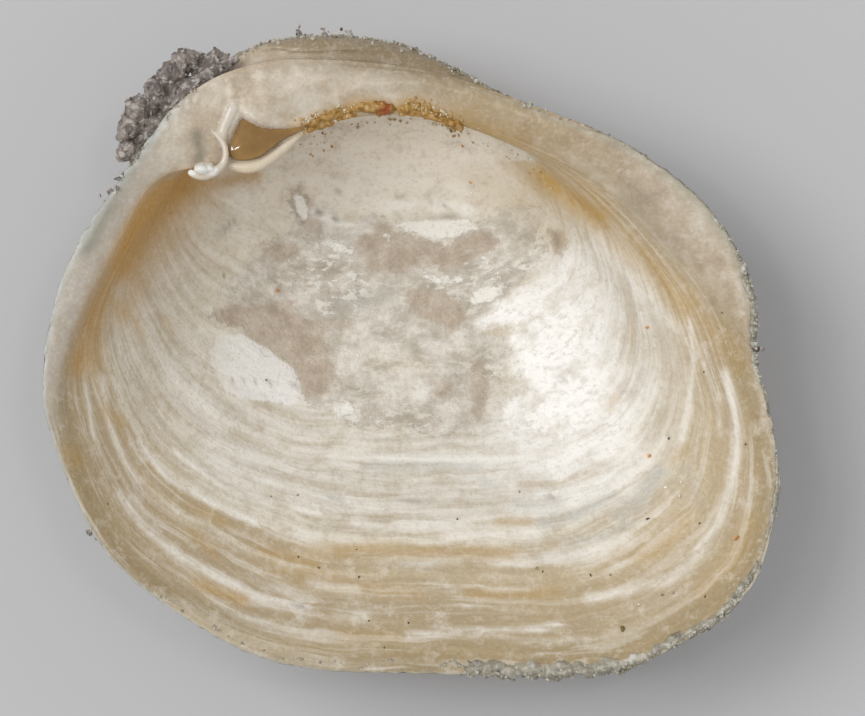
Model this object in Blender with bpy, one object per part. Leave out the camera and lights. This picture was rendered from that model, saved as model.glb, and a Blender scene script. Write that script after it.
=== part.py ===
# One valve of a small, thin, inflated clam shell, hollow side up, with ligament remains and beach sand stuck to it.
#
# The shell is laid out in millimetres: X along the shell, Y from the lower margin to the hinge, Z up, with the
# outer margin in the plane Z = 0 and the hollow below it. The last step sets it on its flat spot, puts the origin
# at the box's bottom centre and changes it to metres. Left and right are as seen from above with the hinge away.

import math

import bmesh
import bpy
import numpy as np
from mathutils import Matrix, Vector
from mathutils.bvhtree import BVHTree

MM = 0.001

# Growth of the valve: its edge grew by turning about the hinge axis, as a coil does
HINGE_AXIS = (-1.00, 2.88)
AXIS_RADIUS = 0.04
CURL = 5.0
CURL_POWER = 0.18
YOUNG_WIDTH_POWER = 0.60
WIDTH_POWER_GAIN = 0.25
YOUNG_BULGE = 0.20

# Wall thickness across each growth ring, and how fast the lip's extra width fades below the margin
EDGE_WALL = 0.15
BEAK_WALL = 0.32
LIP_FADE = 0.42
LIP_CROWN = 0.08

# Pauses in growth, as fractions of the final size, that left a ledge outside and a faint step inside
GROWTH_PAUSES = (0.40, 0.52, 0.63, 0.73, 0.81, 0.88, 0.945)
OUTER_LEDGE = 0.020
INNER_LEDGE = 0.008
LEDGE_RISE = 0.035
LEDGE_FALL = 0.004

# The small flat spot that the valve rests on
SPOT_DEPTH = 0.05

# Mesh fineness
LONGEST_EDGE = 0.36
LIP_RINGS = 3
YOUNG_GROWTHS = (0.02, 0.04, 0.075, 0.12, 0.18, 0.25, 0.31)
CAVITY_GROWTHS = (0.15, 0.18, 0.24, 0.31)
LENS_SIDES = 16

# Outer margin and, matched to it, the inner edge of the lip and hinge plate, clockwise from the beak as seen from
# above: margin x and y, inner edge x and y, and how far the inner edge lies below the margin
MARGIN = [
    (-1.00, 2.84, -1.17, 2.04, 0.10),
    (-0.58, 2.83, -0.62, 2.27, 0.10),
    (-0.00, 2.77, -0.05, 2.32, 0.10),
    (0.50, 2.66, 0.42, 2.24, 0.12),
    (0.96, 2.49, 0.85, 2.12, 0.15),
    (1.90, 2.11, 1.63, 1.77, 0.20),
    (2.35, 1.84, 2.01, 1.50, 0.20),
    (2.79, 1.48, 2.42, 1.10, 0.20),
    (3.11, 1.02, 2.79, 0.62, 0.18),
    (3.28, 0.50, 3.07, 0.19, 0.12),
    (3.28, 0.07, 3.15, -0.14, 0.08),
    (3.27, -0.08, 3.18, -0.27, 0.06),
    (3.40, -0.40, 3.29, -0.50, 0.04),
    (3.48, -0.88, 3.38, -0.91, 0.04),
    (3.50, -1.36, 3.40, -1.35, 0.04),
    (3.20, -2.25, 3.12, -2.19, 0.04),
    (2.34, -2.85, 2.29, -2.76, 0.04),
    (1.67, -3.01, 1.65, -2.91, 0.04),
    (0.19, -3.01, 0.20, -2.91, 0.04),
    (-1.15, -2.93, -1.11, -2.83, 0.04),
    (-2.10, -2.51, -2.03, -2.43, 0.04),
    (-2.94, -1.80, -2.85, -1.75, 0.04),
    (-3.43, -0.72, -3.30, -0.69, 0.05),
    (-3.50, -0.12, -3.32, -0.13, 0.06),
    (-3.40, 0.48, -3.15, 0.39, 0.07),
    (-3.20, 1.04, -2.90, 0.83, 0.08),
    (-2.67, 1.83, -2.46, 1.64, 0.08),
    (-2.08, 2.57, -2.02, 1.82, 0.08),
    (-1.41, 2.82, -1.51, 1.84, 0.08),
]

# The hooked hinge tooth and the low ridge that closes the ligament pit: x, y, z and radius along each
TOOTH = [
    (-1.68, 2.43, -0.03, 0.040),
    (-1.79, 2.28, 0.00, 0.055),
    (-1.90, 2.16, 0.02, 0.050),
    (-1.84, 2.07, 0.05, 0.042),
    (-1.76, 1.95, 0.07, 0.045),
    (-1.78, 1.83, 0.07, 0.060),
    (-1.92, 1.75, 0.06, 0.085),
    (-2.05, 1.79, 0.03, 0.075),
]
RIDGE = [
    (-1.80, 1.81, -0.05, 0.050),
    (-1.58, 1.84, -0.06, 0.050),
    (-1.41, 1.91, -0.07, 0.048),
    (-1.27, 2.02, -0.08, 0.042),
    (-1.15, 2.13, -0.08, 0.034),
    (-1.07, 2.19, -0.09, 0.026),
]
TUBE_SIDES = 8

# The pit in the hinge plate and the level-topped ligament pad in it: centre and half sizes of each lens shape
PIT_CENTRE = (-1.43, 2.10, -0.03)
PIT_HALF = (0.34, 0.17, 0.13)
PAD_CENTRE = (-1.43, 2.115, -0.03)
PAD_HALF = (0.29, 0.140, 0.125)
PAD_TOP = -0.085
PIT_TURN = math.radians(12)

# The dry shred of ligament along the lower edge of the hinge plate
SHRED = [
    (-1.02, 2.24, -0.05, 0.022),
    (-0.84, 2.32, -0.03, 0.032),
    (-0.66, 2.37, -0.02, 0.026),
    (-0.46, 2.39, -0.02, 0.042),
    (-0.26, 2.37, -0.02, 0.060),
    (-0.08, 2.38, -0.03, 0.032),
    (0.10, 2.36, -0.03, 0.036),
    (0.28, 2.31, -0.05, 0.022),
]

# Sand stuck to the outside: lumps of the clump at the upper left, and single grains, as x, y, z and radius
CLUMP = [
    (-2.70, 1.98, -0.18, 0.130),
    (-2.67, 2.18, -0.20, 0.175),
    (-2.54, 2.37, -0.20, 0.180),
    (-2.40, 2.53, -0.20, 0.165),
    (-2.26, 2.70, -0.18, 0.160),
    (-2.15, 2.84, -0.16, 0.145),
    (-2.00, 2.78, -0.22, 0.140),
    (-1.85, 2.84, -0.24, 0.110),
    (-2.44, 2.40, -0.38, 0.160),
]
GRAINS = {
    "sand_grain_left_upper": (-2.80, 1.76, -0.06, 0.062),
    "sand_grain_left": (-2.88, 1.60, -0.06, 0.070),
    "sand_grain_lower_left": (-3.06, -1.66, -0.06, 0.072),
    "sand_grain_right": (3.32, 0.08, -0.05, 0.060),
    "sand_grain_beak_left": (-1.06, 3.10, -0.32, 0.065),
    "sand_grain_beak_middle": (-0.82, 3.10, -0.34, 0.055),
    "sand_grain_beak_right": (-0.58, 3.10, -0.34, 0.060),
}
SEAT = 0.3
GRAIN_ROUGHNESS = 0.28
STICKING_GAP = 0.004


def catmull_rom(before, start, end, after, t):
    """A point on the smooth curve through four control points, between the middle two."""
    return 0.5 * (
        2 * start
        + (end - before) * t
        + (2 * before - 5 * start + 4 * end - after) * t**2
        + (3 * start - before - 3 * end + after) * t**3
    )


def margin_curve():
    """Rows like those of MARGIN, close enough together to follow the smooth margin, through every control point."""
    controls = np.array(MARGIN)
    rows = []
    for i in range(len(controls)):
        around = [controls[(i + j) % len(controls)] for j in (-1, 0, 1, 2)]
        length = math.hypot(*(around[2] - around[1])[:2])
        pieces = math.ceil(length / LONGEST_EDGE)
        rows += [catmull_rom(*around, j / pieces) for j in range(pieces)]
    return np.array(rows)


def inward_normals(outline):
    """Unit normals pointing into an outline that runs clockwise."""
    along = np.roll(outline, -1, axis=0) - np.roll(outline, 1, axis=0)
    normals = np.stack([along[:, 1], -along[:, 0]], axis=1)
    return normals / np.linalg.norm(normals, axis=1)[:, None]


def curl_angle(growth):
    """How far the shell's edge has turned about the hinge axis since it was this fraction of its final size."""
    return CURL * (1 - growth**CURL_POWER)


def flat_ring(outline, growth):
    """The outer margin at a fraction of its final size: rounder when young, flat, its hinge on the hinge axis."""
    reach = AXIS_RADIUS + growth * (HINGE_AXIS[1] - outline[:, 1] - AXIS_RADIUS)
    across = (outline[:, 0] - outline[:, 0].mean()) / (np.ptp(outline[:, 0]) / 2)
    reach *= 1 + YOUNG_BULGE * (1 - growth) ** 2 * (1 - across**2)
    width = growth ** (YOUNG_WIDTH_POWER + WIDTH_POWER_GAIN * growth)
    x = HINGE_AXIS[0] + width * (outline[:, 0] - HINGE_AXIS[0])
    return np.stack([x, HINGE_AXIS[1] - reach], axis=1)


def turned(ring, angle):
    """A flat ring turned about the hinge axis, its lower margin downwards."""
    reach = HINGE_AXIS[1] - ring[:, 1]
    y = HINGE_AXIS[1] - reach * math.cos(angle)
    return np.stack([ring[:, 0], y, -reach * math.sin(angle)], axis=1)


def outer_ring(curve, growth, ledge=0.0):
    margin = flat_ring(curve[:, :2], growth)
    return turned(margin - ledge * inward_normals(margin), curl_angle(growth))


def inner_ring(curve, growth, ledge=0.0):
    """The cavity's lining: the growth ring less its wall, and less what is left of the lip at this depth."""
    angle = curl_angle(growth)
    margin = flat_ring(curve[:, :2], growth)
    wall = EDGE_WALL + (BEAK_WALL - EDGE_WALL) * (1 - growth) - ledge
    fade = 1 / (1 + (angle / LIP_FADE) ** 2)
    lip = curve[:, 2:4] - curve[:, :2] - EDGE_WALL * inward_normals(curve[:, :2])
    ring = turned(margin + wall * inward_normals(margin) + fade * lip, angle)
    ring[:, 2] -= fade * curve[:, 4]
    return ring


def outer_ledges(curve):
    """The outside's rings at all growth pauses: flush, out to the ledge, and flush again just past it."""
    rings = []
    for pause in GROWTH_PAUSES:
        rings.append(outer_ring(curve, pause - LEDGE_RISE))
        rings.append(outer_ring(curve, pause, OUTER_LEDGE))
        rings.append(outer_ring(curve, pause + LEDGE_FALL))
    return rings


def inner_steps(curve):
    """The lining's rings at all growth pauses: flush, and then the faint step."""
    rings = []
    for pause in GROWTH_PAUSES:
        rings.append(inner_ring(curve, pause - LEDGE_RISE))
        rings.append(inner_ring(curve, pause, INNER_LEDGE))
    return rings


def lip_rings(margin, inner_edge):
    """The slightly crowned top of the lip and hinge plate, between the outer margin and the inner edge."""
    rings = []
    width = np.linalg.norm(inner_edge - margin, axis=1)
    for t in np.linspace(0, 1, LIP_RINGS + 2)[1:-1]:
        ring = margin + (inner_edge - margin) * t
        ring[:, 2] += LIP_CROWN * width * 4 * t * (1 - t)
        rings.append(ring)
    return rings


def shell_rings():
    """Rings from the beak over the outside to the margin, then over the lip and down into the cavity."""
    curve = margin_curve()
    margin = outer_ring(curve, 1.0)
    inner_edge = inner_ring(curve, 1.0)
    outside = [outer_ring(curve, growth) for growth in YOUNG_GROWTHS]
    outside += outer_ledges(curve)
    inside = [inner_ring(curve, growth) for growth in CAVITY_GROWTHS]
    inside += inner_steps(curve)
    return outside + [margin, *lip_rings(margin, inner_edge), inner_edge] + inside[::-1]


def mesh_from(body, name):
    """The finished mesh of a bmesh, with its faces pointing out."""
    bmesh.ops.recalc_face_normals(body, faces=body.faces)
    mesh = bpy.data.meshes.new(name)
    body.to_mesh(mesh)
    body.free()
    return mesh


def loft(name, rings):
    """A closed solid over a list of rings that all have the same number of points."""
    body = bmesh.new()
    loops = [[body.verts.new(point) for point in ring] for ring in rings]
    for near, far in zip(loops, loops[1:]):
        for i in range(len(near)):
            after = (i + 1) % len(near)
            body.faces.new((near[i], near[after], far[after], far[i]))
    body.faces.new(loops[0])
    body.faces.new(loops[-1])
    return mesh_from(body, name)


def tube(name, points):
    """A round-ended tube whose radius changes along it, through points of x, y, z and radius."""
    controls = np.array([points[0]] + points + [points[-1]])
    rows = []
    for i in range(1, len(controls) - 2):
        rows += [catmull_rom(*controls[i - 1 : i + 3], t) for t in (0.0, 0.5)]
    rows = np.array(rows + [points[-1]])
    middles = [Vector(row[:3]) for row in rows]
    radii = [float(radius) for radius in rows[:, 3]]
    for end, neighbour in ((0, 1), (-1, -2)):
        outwards = (middles[end] - middles[neighbour]).normalized()
        tip = middles[end] + outwards * radii[end] * 0.8
        middles.insert(0 if end == 0 else len(middles), tip)
        radii.insert(0 if end == 0 else len(radii), radii[end] * 0.45)
    rings = []
    for i, middle in enumerate(middles):
        along = (middles[min(i + 1, len(middles) - 1)] - middles[max(i - 1, 0)]).normalized()
        side = along.cross(Vector((0, 0, 1))).normalized()
        up = side.cross(along)
        turns = [2 * math.pi * j / TUBE_SIDES for j in range(TUBE_SIDES)]
        rings.append([middle + radii[i] * (math.cos(a) * side + math.sin(a) * up) for a in turns])
    return loft(name, rings)


def lens(name, centre, half, turn):
    """A smooth lens-shaped lump."""
    body = bmesh.new()
    place = Matrix.Translation(centre) @ Matrix.Rotation(turn, 4, "Z") @ Matrix.Diagonal((*half, 1.0))
    bmesh.ops.create_uvsphere(body, u_segments=LENS_SIDES, v_segments=LENS_SIDES // 2, radius=1.0, matrix=place)
    return mesh_from(body, name)


def grain(name, x, y, z, radius, seed):
    """An angular sand grain: a ball with its points pushed in and out."""
    body = bmesh.new()
    bmesh.ops.create_icosphere(body, subdivisions=2, radius=radius, matrix=Matrix.Translation((x, y, z)))
    shake = np.random.default_rng(seed)
    centre = Vector((x, y, z))
    for vertex in body.verts:
        stretch = 1 - GRAIN_ROUGHNESS * shake.random()
        vertex.co = centre + (vertex.co - centre) * stretch
    return mesh_from(body, name)


def material(name, colour, roughness):
    """A plain Principled finish."""
    finish = bpy.data.materials.new(name)
    finish.use_nodes = True
    shader = finish.node_tree.nodes["Principled BSDF"]
    shader.inputs["Base Color"].default_value = (*colour, 1.0)
    shader.inputs["Roughness"].default_value = roughness
    shader.inputs["Metallic"].default_value = 0.0
    return finish


def add_object(name, mesh, finish):
    """Links a mesh as a named object, shaded smooth, with its finish."""
    mesh.materials.append(finish)
    mesh.shade_smooth()
    thing = bpy.data.objects.new(name, mesh)
    bpy.context.collection.objects.link(thing)
    return thing


def combine(target, mesh, operation):
    """Adds a mesh to an object, or cuts it out of it, and keeps the result as the object's own mesh."""
    tool = bpy.data.objects.new("tool", mesh)
    bpy.context.collection.objects.link(tool)
    modifier = target.modifiers.new("join", "BOOLEAN")
    modifier.operation = operation
    modifier.object = tool
    bpy.context.view_layer.update()
    graph = bpy.context.evaluated_depsgraph_get()
    result = bpy.data.meshes.new_from_object(target.evaluated_get(graph))
    target.modifiers.clear()
    target.data = result
    bpy.data.objects.remove(tool, do_unlink=True)


def slice_level(mesh, height, upwards):
    """Cuts away what lies above a height, or below it, and closes the mesh with a flat face there."""
    body = bmesh.new()
    body.from_mesh(mesh)
    everything = body.verts[:] + body.edges[:] + body.faces[:]
    cut = bmesh.ops.bisect_plane(
        body, geom=everything, dist=1e-6, plane_co=(0, 0, height), plane_no=(0, 0, upwards), clear_outer=True
    )
    rim = [part for part in cut["geom_cut"] if isinstance(part, bmesh.types.BMEdge)]
    bmesh.ops.contextual_create(body, geom=rim)
    bmesh.ops.recalc_face_normals(body, faces=body.faces)
    body.to_mesh(mesh)
    body.free()


def cut_flat_spot(mesh):
    """Slices the lowest part of the wall off, so that the valve rests on a small flat face."""
    lowest = min(vertex.co.z for vertex in mesh.vertices)
    slice_level(mesh, lowest + SPOT_DEPTH, -1)


def polygons(mesh):
    """A mesh's points and its faces' corners, as a search tree takes them."""
    return [vertex.co for vertex in mesh.vertices], [face.vertices for face in mesh.polygons]


def grown_copy(valve):
    """The valve's mesh with its skin moved out by the sticking gap, for cutting what is stuck to it."""
    mesh = valve.data.copy()
    normals = [vertex.normal.copy() for vertex in mesh.vertices]
    for vertex, normal in zip(mesh.vertices, normals):
        vertex.co += STICKING_GAP * normal
    return mesh


def make_valve(finish):
    valve = add_object("valve", loft("valve", shell_rings()), finish)
    cut_flat_spot(valve.data)
    combine(valve, lens("pit", PIT_CENTRE, PIT_HALF, PIT_TURN), "DIFFERENCE")
    combine(valve, tube("ridge", RIDGE), "UNION")
    combine(valve, tube("tooth", TOOTH), "UNION")
    return valve


def make_ligament(valve, finish):
    pad = add_object("ligament_pad", lens("ligament_pad", PAD_CENTRE, PAD_HALF, PIT_TURN), finish)
    slice_level(pad.data, PAD_TOP, 1)
    shred = add_object("ligament_shred", tube("ligament_shred", SHRED), finish)
    combine(shred, grown_copy(valve), "DIFFERENCE")


def seated(skin, x, y, z, radius):
    """The place and radius of a grain moved onto the nearest part of the valve's skin, a little sunk in."""
    place, normal, _, _ = skin.find_nearest(Vector((x, y, z)))
    return (*(place + SEAT * radius * normal), radius)


def make_sand(valve, finish):
    skin = BVHTree.FromPolygons(*polygons(valve.data))
    clump = add_object("sand_clump", grain("sand_clump", *CLUMP[0], 0), finish)
    for seed, lump in enumerate(CLUMP[1:], 1):
        combine(clump, grain("lump", *lump, seed), "UNION")
    combine(clump, grown_copy(valve), "DIFFERENCE")
    for seed, (name, place) in enumerate(GRAINS.items(), len(CLUMP)):
        single = add_object(name, grain(name, *seated(skin, *place), seed), finish)
        combine(single, grown_copy(valve), "DIFFERENCE")


def set_down():
    """Puts the box's bottom centre at the origin and changes millimetres to metres."""
    meshes = [thing.data for thing in bpy.data.objects]
    points = np.array([tuple(vertex.co) for mesh in meshes for vertex in mesh.vertices])
    low, high = points.min(axis=0), points.max(axis=0)
    bottom_centre = Vector(((low[0] + high[0]) / 2, (low[1] + high[1]) / 2, low[2]))
    for mesh in meshes:
        mesh.transform(Matrix.Scale(MM, 4) @ Matrix.Translation(-bottom_centre))


def main():
    for thing in list(bpy.data.objects):
        bpy.data.objects.remove(thing, do_unlink=True)
    valve = make_valve(material("shell_cream", (0.72, 0.63, 0.50), 0.45))
    make_ligament(valve, material("ligament_amber", (0.36, 0.20, 0.06), 0.25))
    make_sand(valve, material("sand_grey_brown", (0.30, 0.26, 0.22), 0.60))
    set_down()


main()
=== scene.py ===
# One valve of a small, thin, inflated clam shell, hollow side up, with ligament remains and beach sand on it
#
# Pieces are modelled in millimetres in the shell's own frame: X along the shell, Y from the lower margin to
# the hinge, Z up out of the hollow, the outer margin in the plane Z = 0. Each is then set down in the CAD's
# frame, in metres.

import math

import bmesh
import bpy
import numpy as np
from mathutils import Matrix, Vector, noise
from mathutils.bvhtree import BVHTree
from mathutils.kdtree import KDTree


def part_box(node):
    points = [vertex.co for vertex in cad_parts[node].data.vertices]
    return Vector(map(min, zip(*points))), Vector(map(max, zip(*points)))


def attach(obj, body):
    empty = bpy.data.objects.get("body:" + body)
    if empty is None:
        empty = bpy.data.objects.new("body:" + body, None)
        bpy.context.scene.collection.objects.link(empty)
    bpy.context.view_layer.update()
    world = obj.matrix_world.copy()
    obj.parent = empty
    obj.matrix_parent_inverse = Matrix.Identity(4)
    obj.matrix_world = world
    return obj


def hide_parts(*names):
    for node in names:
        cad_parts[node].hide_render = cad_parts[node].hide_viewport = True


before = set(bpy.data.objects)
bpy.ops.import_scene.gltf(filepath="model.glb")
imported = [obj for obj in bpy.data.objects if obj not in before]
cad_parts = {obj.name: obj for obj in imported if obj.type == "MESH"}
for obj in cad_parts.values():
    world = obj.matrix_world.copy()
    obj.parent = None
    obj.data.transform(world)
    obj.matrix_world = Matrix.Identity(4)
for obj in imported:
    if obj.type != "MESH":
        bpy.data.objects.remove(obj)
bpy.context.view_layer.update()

MM = 0.001

# Where the shell's own frame lies in the CAD's frame
SHELL_ORIGIN = (-0.006, -0.0515, 1.723)

# Growth of the valve, as in the CAD: its edge grew by turning about the hinge axis
HINGE_AXIS = (-1.00, 2.88)
AXIS_RADIUS = 0.04
CURL = 5.0
CURL_POWER = 0.18
YOUNG_WIDTH_POWER = 0.60
WIDTH_POWER_GAIN = 0.25
YOUNG_BULGE = 0.20
EDGE_WALL = 0.15
BEAK_WALL = 0.32
LIP_FADE = 0.42
LIP_CROWN = 0.08
GROWTH_PAUSES = (0.40, 0.52, 0.63, 0.73, 0.81, 0.88, 0.945)
YOUNGEST = 0.02
CAVITY_START = 0.15

# Outer margin and inner edge of the lip, close to the CAD's: x and y of each, and the inner edge's drop
MARGIN = [
    (-1.00, 2.84, -1.17, 2.04, 0.10),
    (-0.58, 2.83, -0.62, 2.27, 0.10),
    (-0.00, 2.77, -0.05, 2.32, 0.10),
    (0.50, 2.66, 0.42, 2.24, 0.12),
    (0.96, 2.49, 0.85, 2.12, 0.15),
    (1.90, 2.11, 1.63, 1.77, 0.20),
    (2.35, 1.84, 2.01, 1.50, 0.20),
    (2.79, 1.48, 2.42, 1.10, 0.20),
    (3.11, 1.02, 2.79, 0.62, 0.18),
    (3.28, 0.50, 3.07, 0.19, 0.12),
    (3.28, 0.07, 3.15, -0.14, 0.08),
    (3.27, -0.08, 3.18, -0.27, 0.06),
    (3.40, -0.40, 3.29, -0.50, 0.04),
    (3.48, -0.88, 3.38, -0.91, 0.04),
    (3.50, -1.36, 3.40, -1.35, 0.04),
    (3.20, -2.25, 3.12, -2.19, 0.04),
    (2.34, -2.85, 2.29, -2.76, 0.04),
    (1.67, -3.01, 1.65, -2.91, 0.04),
    (0.19, -3.01, 0.20, -2.91, 0.04),
    (-1.15, -2.93, -1.11, -2.83, 0.04),
    (-2.10, -2.51, -2.03, -2.43, 0.04),
    (-2.94, -1.80, -2.85, -1.75, 0.04),
    (-3.43, -0.72, -3.30, -0.69, 0.05),
    (-3.50, -0.12, -3.32, -0.13, 0.06),
    (-3.40, 0.48, -3.15, 0.39, 0.07),
    (-3.20, 1.04, -2.93, 0.83, 0.08),
    (-2.67, 1.83, -2.51, 1.60, 0.08),
    (-2.08, 2.57, -2.02, 1.82, 0.08),
    (-1.41, 2.82, -1.51, 1.84, 0.08),
]

# Fineness of the valve's mesh: points round a ring, crowded at the hinge, and rings on each side
RING_POINTS = 430
SPAN_STEPS = 40
HINGE_CROWDING = 0.8
OUTSIDE_RINGS = 42
OUTSIDE_SPREAD_POWER = 0.6
RINGS_NEAR_PAUSE = (-0.014, -0.005, 0.0, 0.005, 0.012)
LIP_RINGS = 22
INSIDE_RINGS = 114

# Relief along the growth rings: ledges where growth paused, and irregular lines. Heights are in mm and
# widths in growth.
LEDGE = 0.020
LEDGE_RISE = 0.030
LEDGE_FALL = 0.006
OUTSIDE_LINES = dict(seed=3, count=70, height=0.009, width=0.009)
INSIDE_LINES = dict(seed=8, count=60, height=0.0045, width=0.008)

# Where that relief fades in: the outside's by y away from the hinge, and the inside's lines by growth
OUTSIDE_RELIEF_FADE = (2.75, 2.15)
INSIDE_LINES_FADE = (0.28, 0.40)

# Where the shell turns without an edge: a path, the half width smoothed along it, and how many passes. The
# hinge's is smoothed on both sides of the margin, down to a growth, and the others on the hollow side.
HINGE_TURN = (
    [(-2.02, 2.62), (-1.41, 2.82), (-0.58, 2.83), (0.00, 2.77), (0.50, 2.66), (0.96, 2.49), (1.60, 2.23)],
    0.18,
    150,
)
HINGE_TURN_GROWTH = 0.75
TURNS_LOWEST = -1.2
SOFT_TURNS = [
    ([(0.74, 2.13), (1.04, 1.88), (1.42, 1.45), (1.80, 1.06), (2.28, 0.64), (2.76, 0.24),
      (3.16, -0.04)], 0.34, 220),
    ([(-2.38, 1.66), (-2.70, 1.30), (-2.93, 0.90), (-3.12, 0.40), (-3.26, -0.10), (-3.24, -0.70),
      (-2.88, -1.60)], 0.16, 60),
    ([(-2.50, -2.05), (-1.55, -2.70), (0.20, -2.90), (1.65, -2.90), (2.75, -2.50), (3.30, -1.60),
      (3.32, -0.70)], 0.12, 40),
]

# The pit in the hinge plate, as an outline, and the ligament gum in it: its level, how far it creeps up the
# rim of the pit, its crown and its underside
PIT_OUTLINE = [
    (-1.62, 2.33), (-1.67, 2.20), (-1.72, 2.09), (-1.75, 1.98), (-1.70, 1.90), (-1.58, 1.88),
    (-1.43, 1.92), (-1.32, 2.00), (-1.21, 2.08),
    (-1.02, 2.19), (-1.17, 2.18), (-1.29, 2.19), (-1.41, 2.21), (-1.53, 2.27),
]
PIT_DEPTH = 0.14
PIT_RIM = 0.05
GUM_LEVEL = -0.050
GUM_CREEP = 0.018
GUM_CREEP_WIDTH = 0.025
GUM_CROWN = 0.030
GUM_CROWN_WIDTH = 0.16
GUM_FLOOR = -0.170
GUM_OUTLINE_STEPS = 8
GUM_RINGS = 14
GUM_RING_CROWDING = 1.3

# Low relief worked into the lip and hinge plate: paths of x, y in mm with a half width and a height
RELIEF = [
    ([(-0.69, 2.47), (-0.43, 2.60), (0.09, 2.62), (0.57, 2.48), (1.04, 2.31), (1.52, 2.07), (1.90, 1.79),
      (2.23, 1.54)], 0.055, 0.022),
    ([(-0.58, 2.72), (0.09, 2.74), (0.66, 2.60), (1.14, 2.40)], 0.070, -0.018),
    ([(-1.62, 2.31), (-1.41, 2.22), (-1.15, 2.20), (-0.84, 2.29)], 0.035, 0.024),
    ([(-1.05, 2.62), (-0.77, 2.66)], 0.110, 0.018),
    ([(-1.41, 2.47), (-1.20, 2.41)], 0.120, 0.016),
    ([(-0.80, 2.67), (-0.77, 2.68)], 0.055, 0.012),
    ([(-1.98, 2.06), (-1.97, 1.92)], 0.065, -0.040),
    ([(-1.80, 2.24), (-1.66, 2.34)], 0.050, -0.018),
    ([(-1.53, 2.74), (-1.41, 2.36)], 0.050, -0.012),
    ([(-1.66, 2.83), (-1.71, 2.60), (-1.69, 2.47)], 0.035, 0.016),
    ([(2.38, 1.79), (2.76, 1.39), (3.04, 0.91), (3.16, 0.55), (3.20, 0.19)], 0.045, 0.012),
    ([(2.15, 1.40), (2.45, 1.04)], 0.110, -0.010),
]

# Lumps of the lip and hinge plate, above a depth and fading in by y, and the crumbled edge of the margin, by
# growth and by how far over the lip it is
LIP_LUMPS = dict(fineness=2.6, height=0.016)
LIP_LUMPS_LOWEST = -0.25
LIP_LUMPS_FADE = (-0.5, 0.5)
EDGE_CRUMBLE = dict(fineness=11.0, height=0.020)
EDGE_CRUMBLE_GROWTH = (0.97, 0.995)
EDGE_CRUMBLE_LIP = 0.3

# How rods are made: steps between their control points, the radius of their tips, and their roundness
ROD_STEPS = 6
ROD_TIP = 0.004
ROD_ROUNDNESS = 5

# The hooked hinge tooth, its knob and the ridge below the pit, melted together from rods: x, y, z and radius
# along each
TOOTH_FOLD = [
    (-1.62, 2.62, -0.060, 0.050),
    (-1.64, 2.50, -0.046, 0.070),
    (-1.69, 2.37, -0.028, 0.078),
    (-1.75, 2.25, -0.020, 0.070),
    (-1.79, 2.13, -0.015, 0.056),
    (-1.78, 2.00, -0.015, 0.040),
]
TOOTH_RIM = [
    (-1.90, 2.165, -0.010, 0.018),
    (-1.86, 2.13, 0.015, 0.026),
    (-1.81, 2.08, 0.028, 0.031),
    (-1.77, 2.01, 0.035, 0.032),
    (-1.76, 1.92, 0.035, 0.034),
    (-1.79, 1.83, 0.033, 0.038),
    (-1.86, 1.77, 0.028, 0.043),
    (-1.96, 1.73, 0.022, 0.046),
    (-2.05, 1.74, 0.015, 0.040),
    (-2.11, 1.78, 0.005, 0.028),
]
KNOB = [
    (-2.05, 1.785, 0.020, 0.056),
    (-1.98, 1.795, 0.030, 0.072),
    (-1.89, 1.795, 0.022, 0.060),
]
RIDGE = [
    (-1.77, 1.85, -0.080, 0.036),
    (-1.66, 1.82, -0.080, 0.050),
    (-1.55, 1.81, -0.082, 0.058),
    (-1.43, 1.84, -0.088, 0.058),
    (-1.33, 1.90, -0.098, 0.056),
    (-1.23, 1.98, -0.108, 0.054),
    (-1.15, 2.05, -0.112, 0.048),
    (-1.07, 2.12, -0.115, 0.036),
    (-1.00, 2.18, -0.118, 0.022),
]
HOOK_VOXEL = 0.011
HOOK_PASSES = 5
KNOB_CHALK = dict(reach=0.07, fineness=13.0, height=0.030)
SEAM_WIDTH = 0.070
SEAM_PASSES = 24
SEAM_LEAST_GAP = 0.0005
PORCELAIN_GAPS = (0.002, 0.030)

# Dry ligament along the lower edge of the hinge plate, as strands of x, y, z and radius. Its red-brown lump
# is a place in the CAD's frame, as the shader reads it, and the distances where it is full and ends.
SHRED_STRANDS = [
    [(-1.05, 2.19, -0.085, 0.022), (-0.94, 2.23, -0.075, 0.045), (-0.80, 2.30, -0.070, 0.060),
     (-0.66, 2.36, -0.075, 0.050), (-0.52, 2.39, -0.080, 0.030)],
    [(-1.00, 2.16, -0.100, 0.020), (-0.84, 2.22, -0.090, 0.035), (-0.69, 2.28, -0.090, 0.030),
     (-0.52, 2.32, -0.095, 0.030)],
    [(-0.56, 2.40, -0.080, 0.030), (-0.46, 2.40, -0.070, 0.055), (-0.35, 2.39, -0.070, 0.070),
     (-0.23, 2.38, -0.065, 0.062), (-0.16, 2.37, -0.075, 0.030)],
    [(-0.14, 2.36, -0.085, 0.020), (-0.06, 2.37, -0.075, 0.034), (0.03, 2.40, -0.080, 0.040),
     (0.13, 2.40, -0.085, 0.034), (0.20, 2.36, -0.095, 0.022)],
    [(-0.10, 2.32, -0.095, 0.018), (0.07, 2.33, -0.095, 0.030), (0.24, 2.30, -0.105, 0.045),
     (0.38, 2.25, -0.125, 0.050), (0.49, 2.20, -0.150, 0.030)],
]
SHRED_CRUMBLE = dict(voxel=0.010, fineness=14.0, depth=0.030)
RED_LUMP = (-0.255, 2.325, 1.66)
RED_LUMP_REACH = (0.055, 0.105)

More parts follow.
